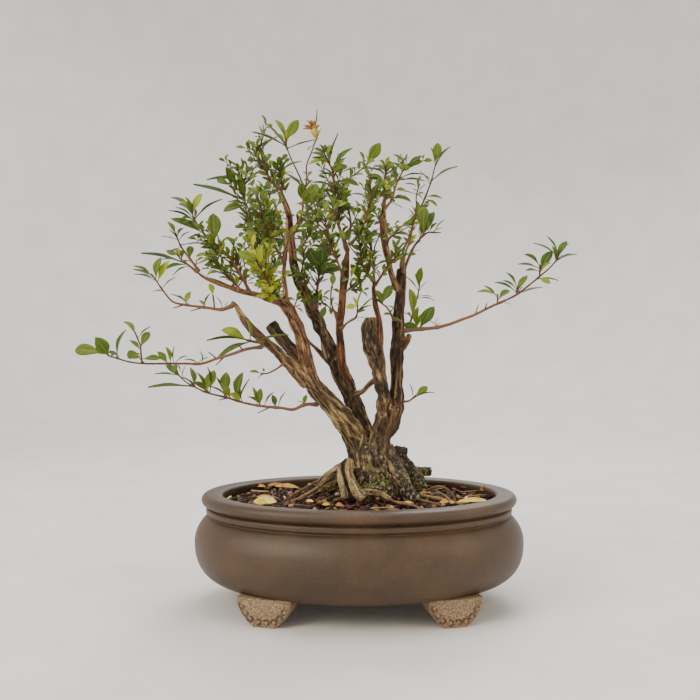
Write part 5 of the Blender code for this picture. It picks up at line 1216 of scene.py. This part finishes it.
    "second_low_left_shoot": (1.3, [(-26, 119, -11), (-33, 119, -16), (-40, 116, -20), (-48, 117, -24),
        (-59, 118, -28), (-70, 120, -32), (-80, 123, -35), (-92, 126, -38), (-99, 129, -40), (-106, 133, -42),
        (-111, 138, -43)], [(-110, 137, 10, [(-125, 138, 2), (-118, 143, 7), (-106, 143, 2)]),
        (-102, 130, 16, [(-129, 130, 3), (-103, 142, 6), (-108, 136, 2)]),
        (-94, 127, 13, [(-88, 140, 9), (-99, 139, 6), (-92, 142, 2), (-101, 133, 5)]),
        (-82, 124, 12, [(-81, 139, 8), (-87, 136, 3), (-92, 131, 2), (-84, 132, 7)]),
        (-75, 122, 13, [(-71, 139, 7), (-67, 135, 2), (-79, 126, 6), (-77, 133, 5)]),
        (-62, 119, 10, [(-65, 130, 6), (-60, 129, 7), (-68, 124, 5), (-52, 127, 3)]),
        (-51, 117, 9, [(-53, 125, 7), (-45, 127, 2)]), (-34, 119, 5, [(-32, 125, 7), (-38, 121, 3)])]),
    "short_low_shoot": (0.9, [(-46, 144, -22), (-50, 141, -26), (-56, 138, -29), (-60, 138, -30)],
        [(-60, 138, 7, [(-67, 139, 6), (-59, 141, 4), (-62, 135, 3)])]),
    "long_right_shoot": (1.5, [(27, 164, 8), (37, 165, 8), (47, 166, 7), (55, 168, 3), (63, 171, 0),
        (71, 174, -3), (81, 179, -7), (88, 182, -10), (96, 186, -12), (104, 192, -15), (110, 197, -17),
        (117, 203, -19), (121, 208, -20), (123, 213, -22)], [(122, 211, 11,
        [(115, 222, 3), (107, 218, 2), (127, 219, 6), (128, 218, 3), (133, 211, 3), (118, 216, 6)]),
        (110.5, 204, 13, [(101, 211, 5), (97, 205, 3), (102, 201, 3), (118, 213, 7), (117, 206, 4)]),
        (110, 197, 9, [(117, 193, 7), (122, 195, 2)]), (96.8, 191, 12, [(90, 200, 5), (88, 195, 3),
        (83, 194, 3), (103, 198, 5), (100, 191, 2)]), (97, 186.5, 17, [(112, 191, 3)]),
        (84.7, 186, 12, [(72, 188, 4), (76, 192, 3), (92, 189, 5)]), (87, 181, 7, [(93, 180, 2)]),
        (47, 166, 5, [(42, 171, 2), (48, 172, 3), (50, 169, 2)]), (38, 165, 12,
        [(27, 168, 8), (46, 179, 8), (36, 179, 4), (40, 175, 5)])], [(84.5, 180.3, -8.5), (84.7, 186.5, -9)],
        [(96, 186, -12), (96.8, 191.5, -13)], [(110.3, 197.2, -17), (110.5, 204.5, -18)]),
    "right_standing_shoot": (1, [(29, 165, 15), (32, 171, 20), (34, 179, 24), (36, 186, 26), (37, 192, 27)],
        [(37, 193, 10, [(38, 203, 8), (34, 199, 6), (28, 198, 2), (41, 194, 2)]),
        (36, 185, 10, [(45, 185, 2), (46, 183, 2), (31, 180, 3)]), (32, 173, 11,
        [(31, 190, 7), (28, 175, 5), (37, 177, 3)])]),
    "low_right_twig": (0.9, [(26, 121, 0), (30, 121, 0), (33, 123, 0), (35, 125, 0)],
        [(34, 124, 9, [(42, 130, 8), (31, 132, 2), (46, 127, 1)])]),
}


def shoot_route(shoot):
    """Places and radii along a shoot's twig, from its root to its tip."""
    root_radius, points = shoot[:2]
    taper = (root_radius - TWIG_TIP) / (len(points) - 1)
    return [(at(*point), root_radius - taper * i) for i, point in enumerate(points)]


def nearest_on(shoot, right, up, down=0.0):
    """The place on a twig seen nearest to a point, or this far down from it, and its direction there."""
    best = None
    stretches = [stretch for points in (shoot[1], *shoot[3:]) for stretch in zip(points, points[1:])]
    for first, second in stretches:
        run, rise = second[0] - first[0], second[1] - first[1]
        share = ((right - first[0]) * run + (up - first[1]) * rise) / (run * run + rise * rise)
        share = min(max(share, 0.1), 0.9)
        miss = hypot(first[0] + run * share - right, first[1] + rise * share - up)
        if best is None or miss < best[0]:
            start, end = at(*first), at(*second)
            best = (miss, start.lerp(end, share), (end - start).normalized())
    return best[1] - best[2] * down, best[2]


def facing(base, along, share):
    """A leaf's upper side, turned so that this share of its face shows to the eye in front."""
    front = Vector((EYE[0] - base.x, -EYE[1] - base.y, EYE[2] - base.z)).normalized()
    toward = (front - front.dot(along) * along).normalized()
    other = along.cross(toward)
    if other.z < 0:
        other.negate()
    angle = pi / 2 * (1 - share)
    return toward * cos(angle) + other * sin(angle)


def seen_leaf(shoot, tuft, number, draw):
    """A leaf whose tip is seen at a known place: its length settles how far it leans in or out."""
    right, up, length, leaves = tuft
    tip_right, tip_up, face = leaves[number]
    base, along = nearest_on(shoot, right, up, (number + min(number, 2)) * LEAF_SPACING)
    seen = (at(tip_right, tip_up, base.y) - base).length
    lean = sqrt(max(length ** 2 - seen ** 2, (0.2 * length) ** 2)) * draw.uniform(0.5, 1.0)
    tip = at(tip_right, tip_up, base.y + lean * draw.choice((-1, 1)))
    direction = (tip - base).normalized()
    share = min(max((face / 9) ** 1.3 + draw.uniform(-0.08, 0.08), 0), 1)
    width = min((tip - base).length * (0.08 + 0.038 * face) + 0.3, 1.1 + 0.72 * face, 7.5)
    return base, tip, facing(base, direction, share), width


def beside(along, turn):
    """A direction across a line, turned round it by this angle."""
    across = along.orthogonal().normalized()
    return across * cos(turn) + along.cross(across) * sin(turn)


def paired_leaf(base, along, number, length, draw):
    """One of the leaves that stand round a twig in opposite pairs, rising from it."""
    turn = number * pi + (number // 2) * 1.4 + draw.uniform(-0.4, 0.4)
    out = beside(along, turn)
    spread = radians(draw.uniform(40, 72))
    direction = (along * cos(spread) + out * sin(spread) + Vector((0, 0, 0.25))).normalized()
    long = length * draw.uniform(0.7, 1.05)
    normal = facing(base, direction, draw.uniform(0, 0.8))
    return base, base + direction * long, normal, long * 0.34 + 0.2


def tuft_leaf(shoot, tuft, number, draw):
    """A leaf placed by rule, down the twig from its tuft's place."""
    right, up, length = tuft[:3]
    down = 2 * (number - 2) * LEAF_SPACING + draw.uniform(-0.4, 0.4)
    base, along = nearest_on(shoot, right, up, down)
    return paired_leaf(base, along, number, length, draw)


def solid_tree(*nodes):
    """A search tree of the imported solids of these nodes, mm."""
    points, faces = [], []
    for name in nodes:
        mesh = frame["nodes"][name].data
        first = len(points)
        points += [from_frame(vertex.co) for vertex in mesh.vertices]
        faces += [[first + i for i in face.vertices] for face in mesh.polygons]
    return BVHTree.FromPolygons(points, faces)


def in_solid(leaf, tree):
    """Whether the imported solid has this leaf: its tip lies on it."""
    return tree.find_nearest(leaf[1])[3] < SAME_PLACE


def crosses(leaf, tree):
    """Whether the outer part of a leaf would cross other pieces."""
    base, tip, normal, width = leaf
    along = (tip - base).normalized()
    side = along.cross(normal).normalized() * width / 2
    start, middle = base.lerp(tip, 0.25), base.lerp(tip, 0.6)
    blade = BVHTree.FromPolygons([start, middle + side, tip, middle - side], [[0, 1, 2, 3]])
    return bool(blade.overlap(tree))


def in_crown(name):
    """Whether a shoot is one of those that stand close together, with small leaves all along."""
    right, up = SHOOTS[name][1][0][:2]
    return CROWN_SIDES[0] < right < CROWN_SIDES[1] and up > CROWN_BASE and name not in BARE_SHOOTS


def filling(name, shoot):
    """Small tufts along the stretches of a crown shoot's twig, more of them on the tree's left."""
    middles = [((a[0] + b[0]) / 2, (a[1] + b[1]) / 2) for a, b in zip(shoot[1], shoot[1][1:])]
    return [(right, up, FILL_LENGTH, FILL_LEAVES[right < 2]) for right, up in middles if in_crown(name)]


def shoot_leaves(name, shoot, own, others):
    """Every leaf of a shoot: those of its solid, in place, and the others that are clear of the rest."""
    placed = []
    for tuft_number, tuft in enumerate(shoot[2] + filling(name, shoot)):
        length, leaves = tuft[2:]
        by_rule = not isinstance(leaves, list)
        packed = tuft_number < len(shoot[2])
        for number in range(leaves + packed * MORE_LEAVES if by_rule else len(leaves)):
            draw = random.Random(f"{name} {tuft_number} {number}")
            wanted = packed and (number < RULE_LEAVES if by_rule else leaves[number][2] * length >= SHOWN)
            make = tuft_leaf if by_rule else seen_leaf
            tries = [make(shoot, tuft, number, draw) for _ in range(ATTEMPTS)]
            found = next((leaf for leaf in tries if in_solid(leaf, own)), None) if wanted else None
            placed.append(found or next((leaf for leaf in tries if not crosses(leaf, others)), tries[0]))
    return placed


def sheet_faces(steps, wide):
    """Faces that close a thin sheet: its upper points in rows, then its lower points in the same order."""
    count = (steps + 1) * wide
    upper = [(i * wide + k, (i + 1) * wide + k, (i + 1) * wide + k + 1, i * wide + k + 1)
        for i in range(steps) for k in range(wide - 1)]
    edge = ([k for k in range(wide)] + [i * wide + wide - 1 for i in range(1, steps + 1)]
        + [steps * wide + k for k in range(wide - 2, -1, -1)] + [i * wide for i in range(steps - 1, 0, -1)])
    faces = [face[::-1] for face in upper] + [tuple(count + i for i in face) for face in upper]
    return faces + [(second, first, count + first, count + second) for first, second in zip(edge, edge[1:]
        + edge[:1])]


def leaf_form(name, fold, arch, twist, blunt):
    """One leaf, a unit long and wide: widest past its middle, folded along its midrib, arched and twisted."""
    steps, rows = 8, (-1, -0.55, 0, 0.55, 1)
    top, under, places = [], [], []
    for i in range(steps + 1):
        t = i / steps
        share = max((t - 0.09) / 0.91, 0)
        half = 0.5 * sin(pi * share ** 1.2) ** (blunt + 0.5 * (1 - share)) if share < 1 else 0.0
        half = max(half, 0.075 * (1 - share) if t < 0.5 else 0.012)
        rise = arch * sin(pi * t) - 0.35 * arch * t ** 3
        turn = twist * t
        for row in rows:
            y = half * row
            z = fold * abs(y) + 0.02 * sin(9 * t + 3 * row) * abs(row)
            rib = 0.02 if row == 0 else 0.0
            thick = 0.011 + (0.02 if t < 0.1 else 0) if abs(row) < 1 else 0.0
            y, z = y * cos(turn) - z * sin(turn) * 0.3, z * 0.3 + y * sin(turn) * 0.3
            top.append(Vector((t, y, rise + z + thick / 2)))
            under.append(Vector((t, y, rise + z - thick / 2 - rib)))
            places.append((0.5 + 0.5 * row, t))
    count = len(top)
    mesh = bpy.data.meshes.new(name)
    mesh.from_pydata(top + under, [], sheet_faces(steps, len(rows)))
    uv = mesh.uv_layers.new(name="leaf_place")
    for loop in mesh.loops:
        uv.data[loop.index].uv = places[loop.vertex_index % count]
    beneath = mesh.attributes.new("beneath", "FLOAT", "FACE")
    beneath.data.foreach_set("value", [1.0 if face.normal.z < -0.2 else 0.0 for face in mesh.polygons])
    work = bmesh.new()
    work.from_mesh(mesh)
    bmesh.ops.remove_doubles(work, verts=work.verts, dist=0.0005)
    bmesh.ops.recalc_face_normals(work, faces=work.faces)
    work.to_mesh(mesh)
    work.free()
    mesh.polygons.foreach_set("use_smooth", [True] * len(mesh.polygons))
    return bpy.data.objects.new(name, mesh)


def shoot_tree():
    """Geometry nodes that make a twig of each line of a mesh and set a leaf on each marked point."""
    tree, given = node_group("leafy shoot", {"Lines and points": "Geometry", "Leaf forms": "Collection",
        "Twig sides": "Int", "Twig finish": "Material", "Leaf finish": "Material"})
    named = {name: add_node(tree, "GeometryNodeInputNamedAttribute", {"Name": name}, data_type=kind)
        for name, kind in POINT_VALUES.items()}
    line = add_node(tree, "GeometryNodeMeshToCurve", {"Mesh": given["Lines and points"]})
    ring = add_node(tree, "GeometryNodeCurvePrimitiveCircle", {"Resolution": given["Twig sides"],
        "Radius": 1.0})
    twig = add_node(tree, "GeometryNodeCurveToMesh", {"Curve": line, "Profile Curve": ring,
        "Scale": named["thick"], "Fill Caps": True})
    barked = add_node(tree, "GeometryNodeSetMaterial", {"Geometry": twig, "Material": given["Twig finish"]})
    forms = add_node(tree, "GeometryNodeCollectionInfo", {"Collection": given["Leaf forms"],
        "Separate Children": True, "Reset Children": True})
    pose = add_node(tree, "FunctionNodeAxesToRotation", {"Primary Axis": named["along"],
        "Secondary Axis": named["upper"]}, primary_axis="X", secondary_axis="Z")
    leaves = add_node(tree, "GeometryNodeInstanceOnPoints", {"Points": given["Lines and points"],
        "Selection": named["is_leaf"], "Instance": forms, "Pick Instance": True,
        "Instance Index": named["form"], "Rotation": pose, "Scale": named["span"]})
    real = add_node(tree, "GeometryNodeRealizeInstances", {"Geometry": leaves})
    green = add_node(tree, "GeometryNodeSetMaterial", {"Geometry": real, "Material": given["Leaf finish"]})
    both = add_node(tree, "GeometryNodeJoinGeometry", {"Geometry": green})
    tree.links.new(socket(barked), both.inputs["Geometry"])
    smooth = add_node(tree, "GeometryNodeSetShadeSmooth", {"Geometry": both})
    add_node(tree, "NodeGroupOutput", {"Made": smooth})
    return tree


def shoot_lines(name, shoot, others):
    """The twig's own line, swollen at its tufts, its side twigs, (place, radius, age), and their leaves."""
    route = smooth_route(shoot_route(shoot), TWIG_STEP)
    knots = [nearest_on(shoot, tuft[0], tuft[1])[0] for tuft in shoot[2]]
    last = len(route) - 1
    line = []
    for i, (place, radius) in enumerate(route):
        knot = max((exp(-((place - middle).length / 1.3) ** 2) for middle in knots), default=0)
        collar = 0.45 * max(0, 1 - i / 3)
        slim = radius * (0.86 - 0.36 * i / last)
        line.append((place, slim * (1 + 0.35 * knot + collar), i / last))
    inside, number, gap = wood_places.find(route[0][0])
    if gap < samples[number][1] + ROOT_REACH:
        line.insert(0, (inside, line[0][1], 0))
    lines = [line] + [[(at(*point), SIDE_TWIG, 0.8) for point in points] for points in shoot[3:]]
    leafy = in_crown(name)
    spacing = SIDE_SPACING[shoot[1][-1][0] < 2] if leafy else SPUR_SPACING
    draw = random.Random(name + " spurs")
    leaves = []
    for _ in range(int(sum((b[0] - a[0]).length for a, b in zip(route, route[1:])) / spacing)):
        start = draw.randrange(2, max(last - 2, 3))
        place, radius = route[start]
        along = (route[min(start + 1, last)][0] - place).normalized()
        turn = draw.uniform(0, 2 * pi)
        out = (beside(along, turn) + along * 0.9 + Vector((0, 0, 0.4))).normalized()
        length = draw.uniform(*SPUR_LENGTHS[leafy])
        bend = along * 0.12 * length
        end = place + out * length + bend
        if crosses((place, end, along.orthogonal().normalized(), 1.0), others):
            continue
        lines.append([(place, 0.5, 0.6), (place.lerp(end, 0.5) - bend * 0.2, 0.38, 0.8), (end, 0.25, 1.0)])
        if leafy:
            for number in range(draw.randrange(3, 7)):
                base = place.lerp(end, 0.97 - 0.24 * (number // 2) + draw.uniform(-0.03, 0.03))
                tries = [paired_leaf(base, out, number, draw.uniform(*SPUR_LEAF), draw) for _ in range(4)]
                leaves.append(next((leaf for leaf in tries if not crosses(leaf, others)), tries[0]))
    return lines, leaves


def make_shoot(name, shoot, leaves, others):
    """The shoot as one piece, from its lines and its leaves' places."""
    lines, more_leaves = shoot_lines(name, shoot, others)
    points, edges, rows = [], [], []
    draw = random.Random(name + " looks")
    shade = draw.uniform(-0.12, 0.12) + (0.3 if name in BRIGHT_SHOOTS else 0)
    for line in lines:
        edges += [(len(points) + i, len(points) + i + 1) for i in range(len(line) - 1)]
        points += [place for place, radius, age in line]
        rows += [(False, radius * MM, 0, age, 0.5, *[(1, 0, 0)] * 3) for place, radius, age in line]
    for base, tip, normal, width in leaves + more_leaves:
        length = (tip - base).length
        narrow = width < 0.25 * length
        points.append(base)
        form = draw.randrange(LEAF_FORMS) + narrow * LEAF_FORMS
        # Painted shade: leaves seen nearly edge-on get a darker tint.
        tint = min(max(draw.gauss(0.43, 0.18) + shade - 0.3 * narrow, 0), 1)
        rows.append((True, 0.001, form, 1.0, tint, (tip - base).normalized(), normal,
            (length * MM, width * 1.08 * MM, length * MM)))
    mesh = bpy.data.meshes.new(name)
    mesh.from_pydata([to_frame(point) for point in points], edges, [])
    for (key, kind), values in zip(POINT_VALUES.items(), zip(*rows)):
        stored = mesh.attributes.new(key, kind, "POINT").data
        if kind == "FLOAT_VECTOR":
            stored.foreach_set("vector", [part for value in values for part in value])
        else:
            stored.foreach_set("value", values)
    given = {"Leaf forms": leaf_forms, "Twig sides": TWIG_SIDES, "Twig finish": twig_bark,
        "Leaf finish": leaf_skin}
    return run_nodes("leafy_" + name, mesh, leafy_shoot, given)


# Living pomegranate leaf: smooth and a little glossy, mid to yellow-green, paler and duller beneath,
# with a light midrib, faint side veins and a reddish edge on the youngest.
leaf_skin, tree, shader, coords = new_surface("living leaf", 0.5, 0.3)
uv = add_node(tree, "UVMap", uv_map="leaf_place")
split = add_node(tree, "SeparateXYZ", {"Vector": uv})
tint = add_node(tree, "Attribute", attribute_name="tint")
beneath = add_node(tree, "Attribute", attribute_name="beneath")
mottle = add_node(tree, "TexNoise", {"Vector": coords, "Scale": 1000 / 3.0, "Detail": 4.0})
shift = add_node(tree, "Math", {0: mottle, 1: 0.4, 2: -0.2}, operation="MULTIPLY_ADD")
choice = add_node(tree, "Math", {0: tint.outputs["Fac"], 1: shift}, operation="ADD", use_clamp=True)
green = add_node(tree, "ValToRGB", {"Fac": choice}, [(0.05, "1A2204"), (0.95, "AAAC18"), (0.36, "384508"),
    (0.64, "61690C")])
side = add_node(tree, "Math", {0: split.outputs["X"], 1: 0.5}, operation="SUBTRACT")
away = add_node(tree, "Math", {0: side}, operation="ABSOLUTE")
rib = add_node(tree, "MapRange", {"Value": away, "From Min": 0.02, "From Max": 0.08, "To Min": 0.3,
    "To Max": 0.0})
slant = add_node(tree, "Math", {0: away, 1: -0.9, 2: split.outputs["Y"]}, operation="MULTIPLY_ADD")
waves = add_node(tree, "Math", {0: slant, 1: 68.0}, operation="MULTIPLY")
veins = add_node(tree, "Math", {0: waves}, operation="SINE")
lines = add_node(tree, "MapRange", {"Value": veins, "From Min": 0.8, "From Max": 1.0, "To Max": 0.14})
pale = add_node(tree, "Math", {0: beneath.outputs["Fac"], 1: 0.25}, operation="MULTIPLY")
stalk = add_node(tree, "MapRange", {"Value": split.outputs["Y"], "From Min": 0.05, "From Max": 0.14,
    "To Min": 0.8, "To Max": 0.0})
colour = green
for share, over in ((lines, "8AA23A"), (rib, "A9B758"), (pale, "5C7228"), (stalk, "7A4424")):
    colour = add_node(tree, "MixRGB", {"Fac": share, "Color1": colour, "Color2": linear(over)})
gloss = add_node(tree, "MapRange", {"Value": beneath.outputs["Fac"], "To Min": 0.45, "To Max": 0.65})
finish_surface(tree, shader, colour, lines, 0.1, gloss)
shader.inputs["Subsurface Weight"].default_value = 0.12
shader.inputs["Subsurface Radius"].default_value = (0.5, 1.0, 0.15)
shader.inputs["Subsurface Scale"].default_value = 0.0015

# Young twig bark: thin and smooth, grey-tan and dull near the limb, red-brown towards the tip.
twig_bark, tree, shader, coords = new_surface("young twig bark", 0.6, 0.4)
age = add_node(tree, "Attribute", attribute_name="age")
flecks = add_node(tree, "TexNoise", {"Vector": coords, "Scale": 1000 / 2.2, "Detail": 5.0})
shift = add_node(tree, "Math", {0: flecks, 1: 1.1, 2: -0.55}, operation="MULTIPLY_ADD")
choice = add_node(tree, "Math", {0: age.outputs["Fac"], 1: shift}, operation="ADD", use_clamp=True)
brown = add_node(tree, "ValToRGB", {"Fac": choice}, [(0.0, "6A5036"), (1.0, "3E2219"), (0.35, "7A4E30"),
    (0.7, "5A3421")])
finish_surface(tree, shader, brown, flecks, 0.12)

leaf_forms = bpy.data.collections.new("leaf forms")
draw = random.Random("leaf forms")
for number in range(2 * LEAF_FORMS):
    flat = 1.0 if number < LEAF_FORMS else 0.3
    leaf_forms.objects.link(leaf_form(f"leaf_form_{number:02d}", draw.uniform(0.25, 0.8) * flat,
        draw.uniform(0.01, 0.09), draw.uniform(-0.7, 0.7) * flat, draw.uniform(0.5, 0.68)))
leafy_shoot = shoot_tree()
wood_places = KDTree(len(samples))
for number, sample in enumerate(samples):
    wood_places.insert(sample[0], number)
wood_places.balance()
for name, shoot in SHOOTS.items():
    others = solid_tree(*[node for node in frame["nodes"] if node not in (name, "pot", "soil")])
    leaves = shoot_leaves(name, shoot, solid_tree(name), others)
    hand_over(make_shoot(name, shoot, leaves, others), "foliage", name)

# The dry flower at the top of the crown. A swollen leathery calyx with pointed lobes, papery petals
# withered to orange-brown and a thin dark style; it has dried on its own shoot and stays there.
FLOWER_FOOT, FLOWER_TOP = (-26, 281.6, 1.2), (-27.2, 287.6, 0)
CALYX_RADII = [(-0.2, 0.5), (0.1, 1.2), (0.3, 2.1), (0.65, 2.45), (0.85, 2.2), (1.0, 1.7)]
STYLE = [(-26, 293, -1, 0.42), (-25.7, 297, -1.6, 0.3), (-25.7, 298.8, -2, 0.34)]
PETALS = [(-32, 292.6, -2), (-30, 293, 2), (-27.8, 292.8, -3), (-33.6, 289.4, 1), (-34.4, 287.4, -2),
    (-24.2, 289.6, 2), (-25, 288, -4)]
CALYX_LOBES = 6


def dry_blade(leaf, fold, arch, crumple, steps=10, rows=(-1, -0.6, 0, 0.6, 1)):
    """A thin closed dry blade: its points, faces and each point's distance from the rib."""
    base, tip, normal, width = leaf
    along = (tip - base).normalized()
    side = along.cross(normal).normalized()
    up = side.cross(along)
    length = (tip - base).length
    top, under, values = [], [], []
    for i in range(steps + 1):
        t = i / steps
        half = width / 2 * max(sin(pi * t ** 0.95) ** 0.7 if 0 < t < 1 else 0, 0.06)
        for row in rows:
            place = base + along * (t * length) + side * (half * row)
            rise = fold * half * abs(row) + arch * length * sin(pi * t)
            place += up * (rise + crumple * width * noise.noise(place * 0.45))
            thick = 0.14 if abs(row) < 1 else 0.05
            top.append(place + up * thick)
            under.append(place - up * thick)
            values.append(abs(row))
    return top + under, sheet_faces(steps, len(rows)), values * 2


# Dry pomegranate calyx: leathery, ochre-yellow running to rust, wrinkled, with a dull wax gloss.
calyx_skin = tinted_surface("dry pomegranate calyx", 0.5, [(0.0, "6E5218"), (1.0, "D2BC4A"), (0.5, "A8902C")],
    1.5, 0.15, 0.5)
# Withered petals and style: papery, orange-brown to dark brown, matt and crumpled.
petal_skin = tinted_surface("withered petals", 0.8, [(0.0, "38220F"), (1.0, "CCA064"), (0.5, "8C5C2C")], 1.1,
    0.1)

foot, top = at(*FLOWER_FOOT), at(*FLOWER_TOP)
along = (top - foot).normalized()
calyx = wood_tube(smooth_route([(foot.lerp(top, share), radius) for share, radius in CALYX_RADII], 0.4), 18,
    0.2)
solids = [(*calyx, [0.75] * len(calyx[0]))]
for number in range(CALYX_LOBES):
    out = beside(along, 2 * pi * number / CALYX_LOBES)
    lobe = top + out * 1.3 - along * 0.6, top + out * 1.9 + along * 1.7, out, 1.9
    points, faces, values = dry_blade(lobe, -0.3, -0.1, 0.1)
    solids.append((points, faces, [0.6] * len(points)))
flower = add_mesh("withered_flower", [], [])
join_solids(flower, solids, calyx_skin, "tint")
style = wood_tube(smooth_route([(top, 0.5)] + [(at(*point[:3]), point[3]) for point in STYLE], 0.6), 8)
solids = [(*style, [0.1] * len(style[0]))]
for number, tip in enumerate(at(*petal) for petal in PETALS):
    petal = top - along * 0.8, tip, facing(top, (tip - top).normalized(), 0.6), 2.0
    points, faces, values = dry_blade(petal, 0.4, 0.08, 0.22)
    solids.append((points, faces, [0.35 + 0.5 * value * sin(number) ** 2 for value in values]))
join_solids(flower, solids, petal_skin, "tint")
hand_over(flower, "dry_flower", "dry_flower")

# The fallen leaves. Dry leaves and scraps that lie loose on the soil, curled and bleached: cream,
# yellow, tan and ochre, one green-brown, with a paler rib.
FALLEN_LEAVES = [(-55, -22, 4, 13.5, 5.4, 50, 0.95), (-56, -10, -28, 13, 3.4, 30, 0.55),
    (-46, 26, -24, 18, 4.4, 30, 0.5), (66, -22, 12, 19, 3.4, 40, 0.75)]
REST_CLEAR = 2.4
SCRAPS = [(-60, 57.5, 10, 7, 4, 50, 0.75), (76, 66.5, 35, 8.5, 4.5, 60, 0.15),
    (-58, 72.5, -10, 9, 2.6, 45, 0.5), (-49, 74, 12, 9, 2.6, 40, 0.42), (-70, 70, 78, 5.5, 2, 75, 0.7),
    (-73, 68, 65, 6, 2, 75, 0.62), (-12, 56.5, 0, 4.5, 3, 45, 0.3), (-20, 57, 15, 5, 2.6, 45, 0.6),
    (30, 60, -15, 7, 2, 40, 0.5), (52, 58.5, 20, 6, 2.6, 45, 0.55), (40, 64, 8, 9, 2.2, 35, 0.35),
    (-30, 59, -40, 6, 2.2, 45, 0.8), (64, 70, -20, 8, 2.4, 40, 0.4), (-45, 78, 5, 9, 2.4, 40, 0.3)]


def level(turn):
    """The level direction at a turn in degrees."""
    return Vector((cos(radians(turn)), sin(radians(turn)), 0))


def lying(middle, turn, length, width, tilt):
    """A blade that lies at a place, its upper side tilted towards the front."""
    half, lean = level(turn) * length / 2, radians(tilt)
    return middle - half, middle + half, Vector((0, -sin(lean), cos(lean))), width


def loose_piece(name, solids, surface, slot, *nodes):
    """One piece of closed solids, all of one stuff."""
    piece = add_mesh(name, [], [])
    join_solids(piece, solids, surface, "tint")
    hand_over(piece, slot, *nodes)


# Dry leaf: thin and papery, cream to ochre with brown edges, a fine rib, a faint silky gloss.
dry_leaf = tinted_surface("dry fallen leaf", 0.55, [(0.0, "5E4A1C"), (1.0, "F0E39A"), (0.35, "A8752A"),
    (0.7, "D6B838")], 4.0, 0.12, 0.45)
for number, (x, y, turn, length, width, tilt, tint) in enumerate(FALLEN_LEAVES):
    ends = [Vector((x, y, 0)) + level(turn) * length * share for share in (-0.5, 0, 0.5)]
    middle = Vector((x, y, max(soil_height(end.x, end.y) for end in ends) + REST_CLEAR))
    points, faces, values = dry_blade(lying(middle, turn, length, width, tilt), 0.35, 0.05, 0.12)
    solids = [(points, faces, [tint - 0.25 * value ** 3 for value in values])]
    loose_piece(f"dry_leaf_{number + 1}", solids, dry_leaf, "dry_leaf", f"fallen_leaf_{number + 1}")
solids = []
for right, up, turn, length, width, tilt, tint in SCRAPS:
    middle = resting(right, up) + Vector((0, 0, 0.35 * width))
    points, faces, values = dry_blade(lying(middle, turn, length, width, tilt), 0.4, 0.07, 0.2, steps=6)
    solids.append((points, faces, [tint - 0.2 * value ** 3 for value in values]))
loose_piece("leaf_scraps", solids, dry_leaf, "dry_leaf")

# The rootlets. Thin bare roots of the tree that loop out of the soil and back into it round the foot
# of the trunk, where watering has washed the soil away.
ROOTLET_RADIUS = 0.95
# Rootlet skin: thin and fibrous, grey-brown to tan, dusty.
rootlet_skin = tinted_surface("rootlet skin", 0.75, [(0.0, "3E2B1B"), (1.0, "A88C62"), (0.5, "6F5538")], 2.2,
    0.25)
solids = []
for number, line in enumerate(ROOTLETS):
    count = len(line)
    route = [(Vector((x, y, soil_height(x, y) + rise)), ROOTLET_RADIUS * (1 - 0.5 * i / count))
        for i, (x, y, rise) in enumerate(line)]
    points, faces = wood_tube(smooth_route(route, 1.0), 10, 0.5, f"rootlet {number}")
    solids.append((points, faces, [0.35 + 0.3 * sin(number) ** 2] * len(points)))
loose_piece("rootlets", solids, rootlet_skin, "bark")
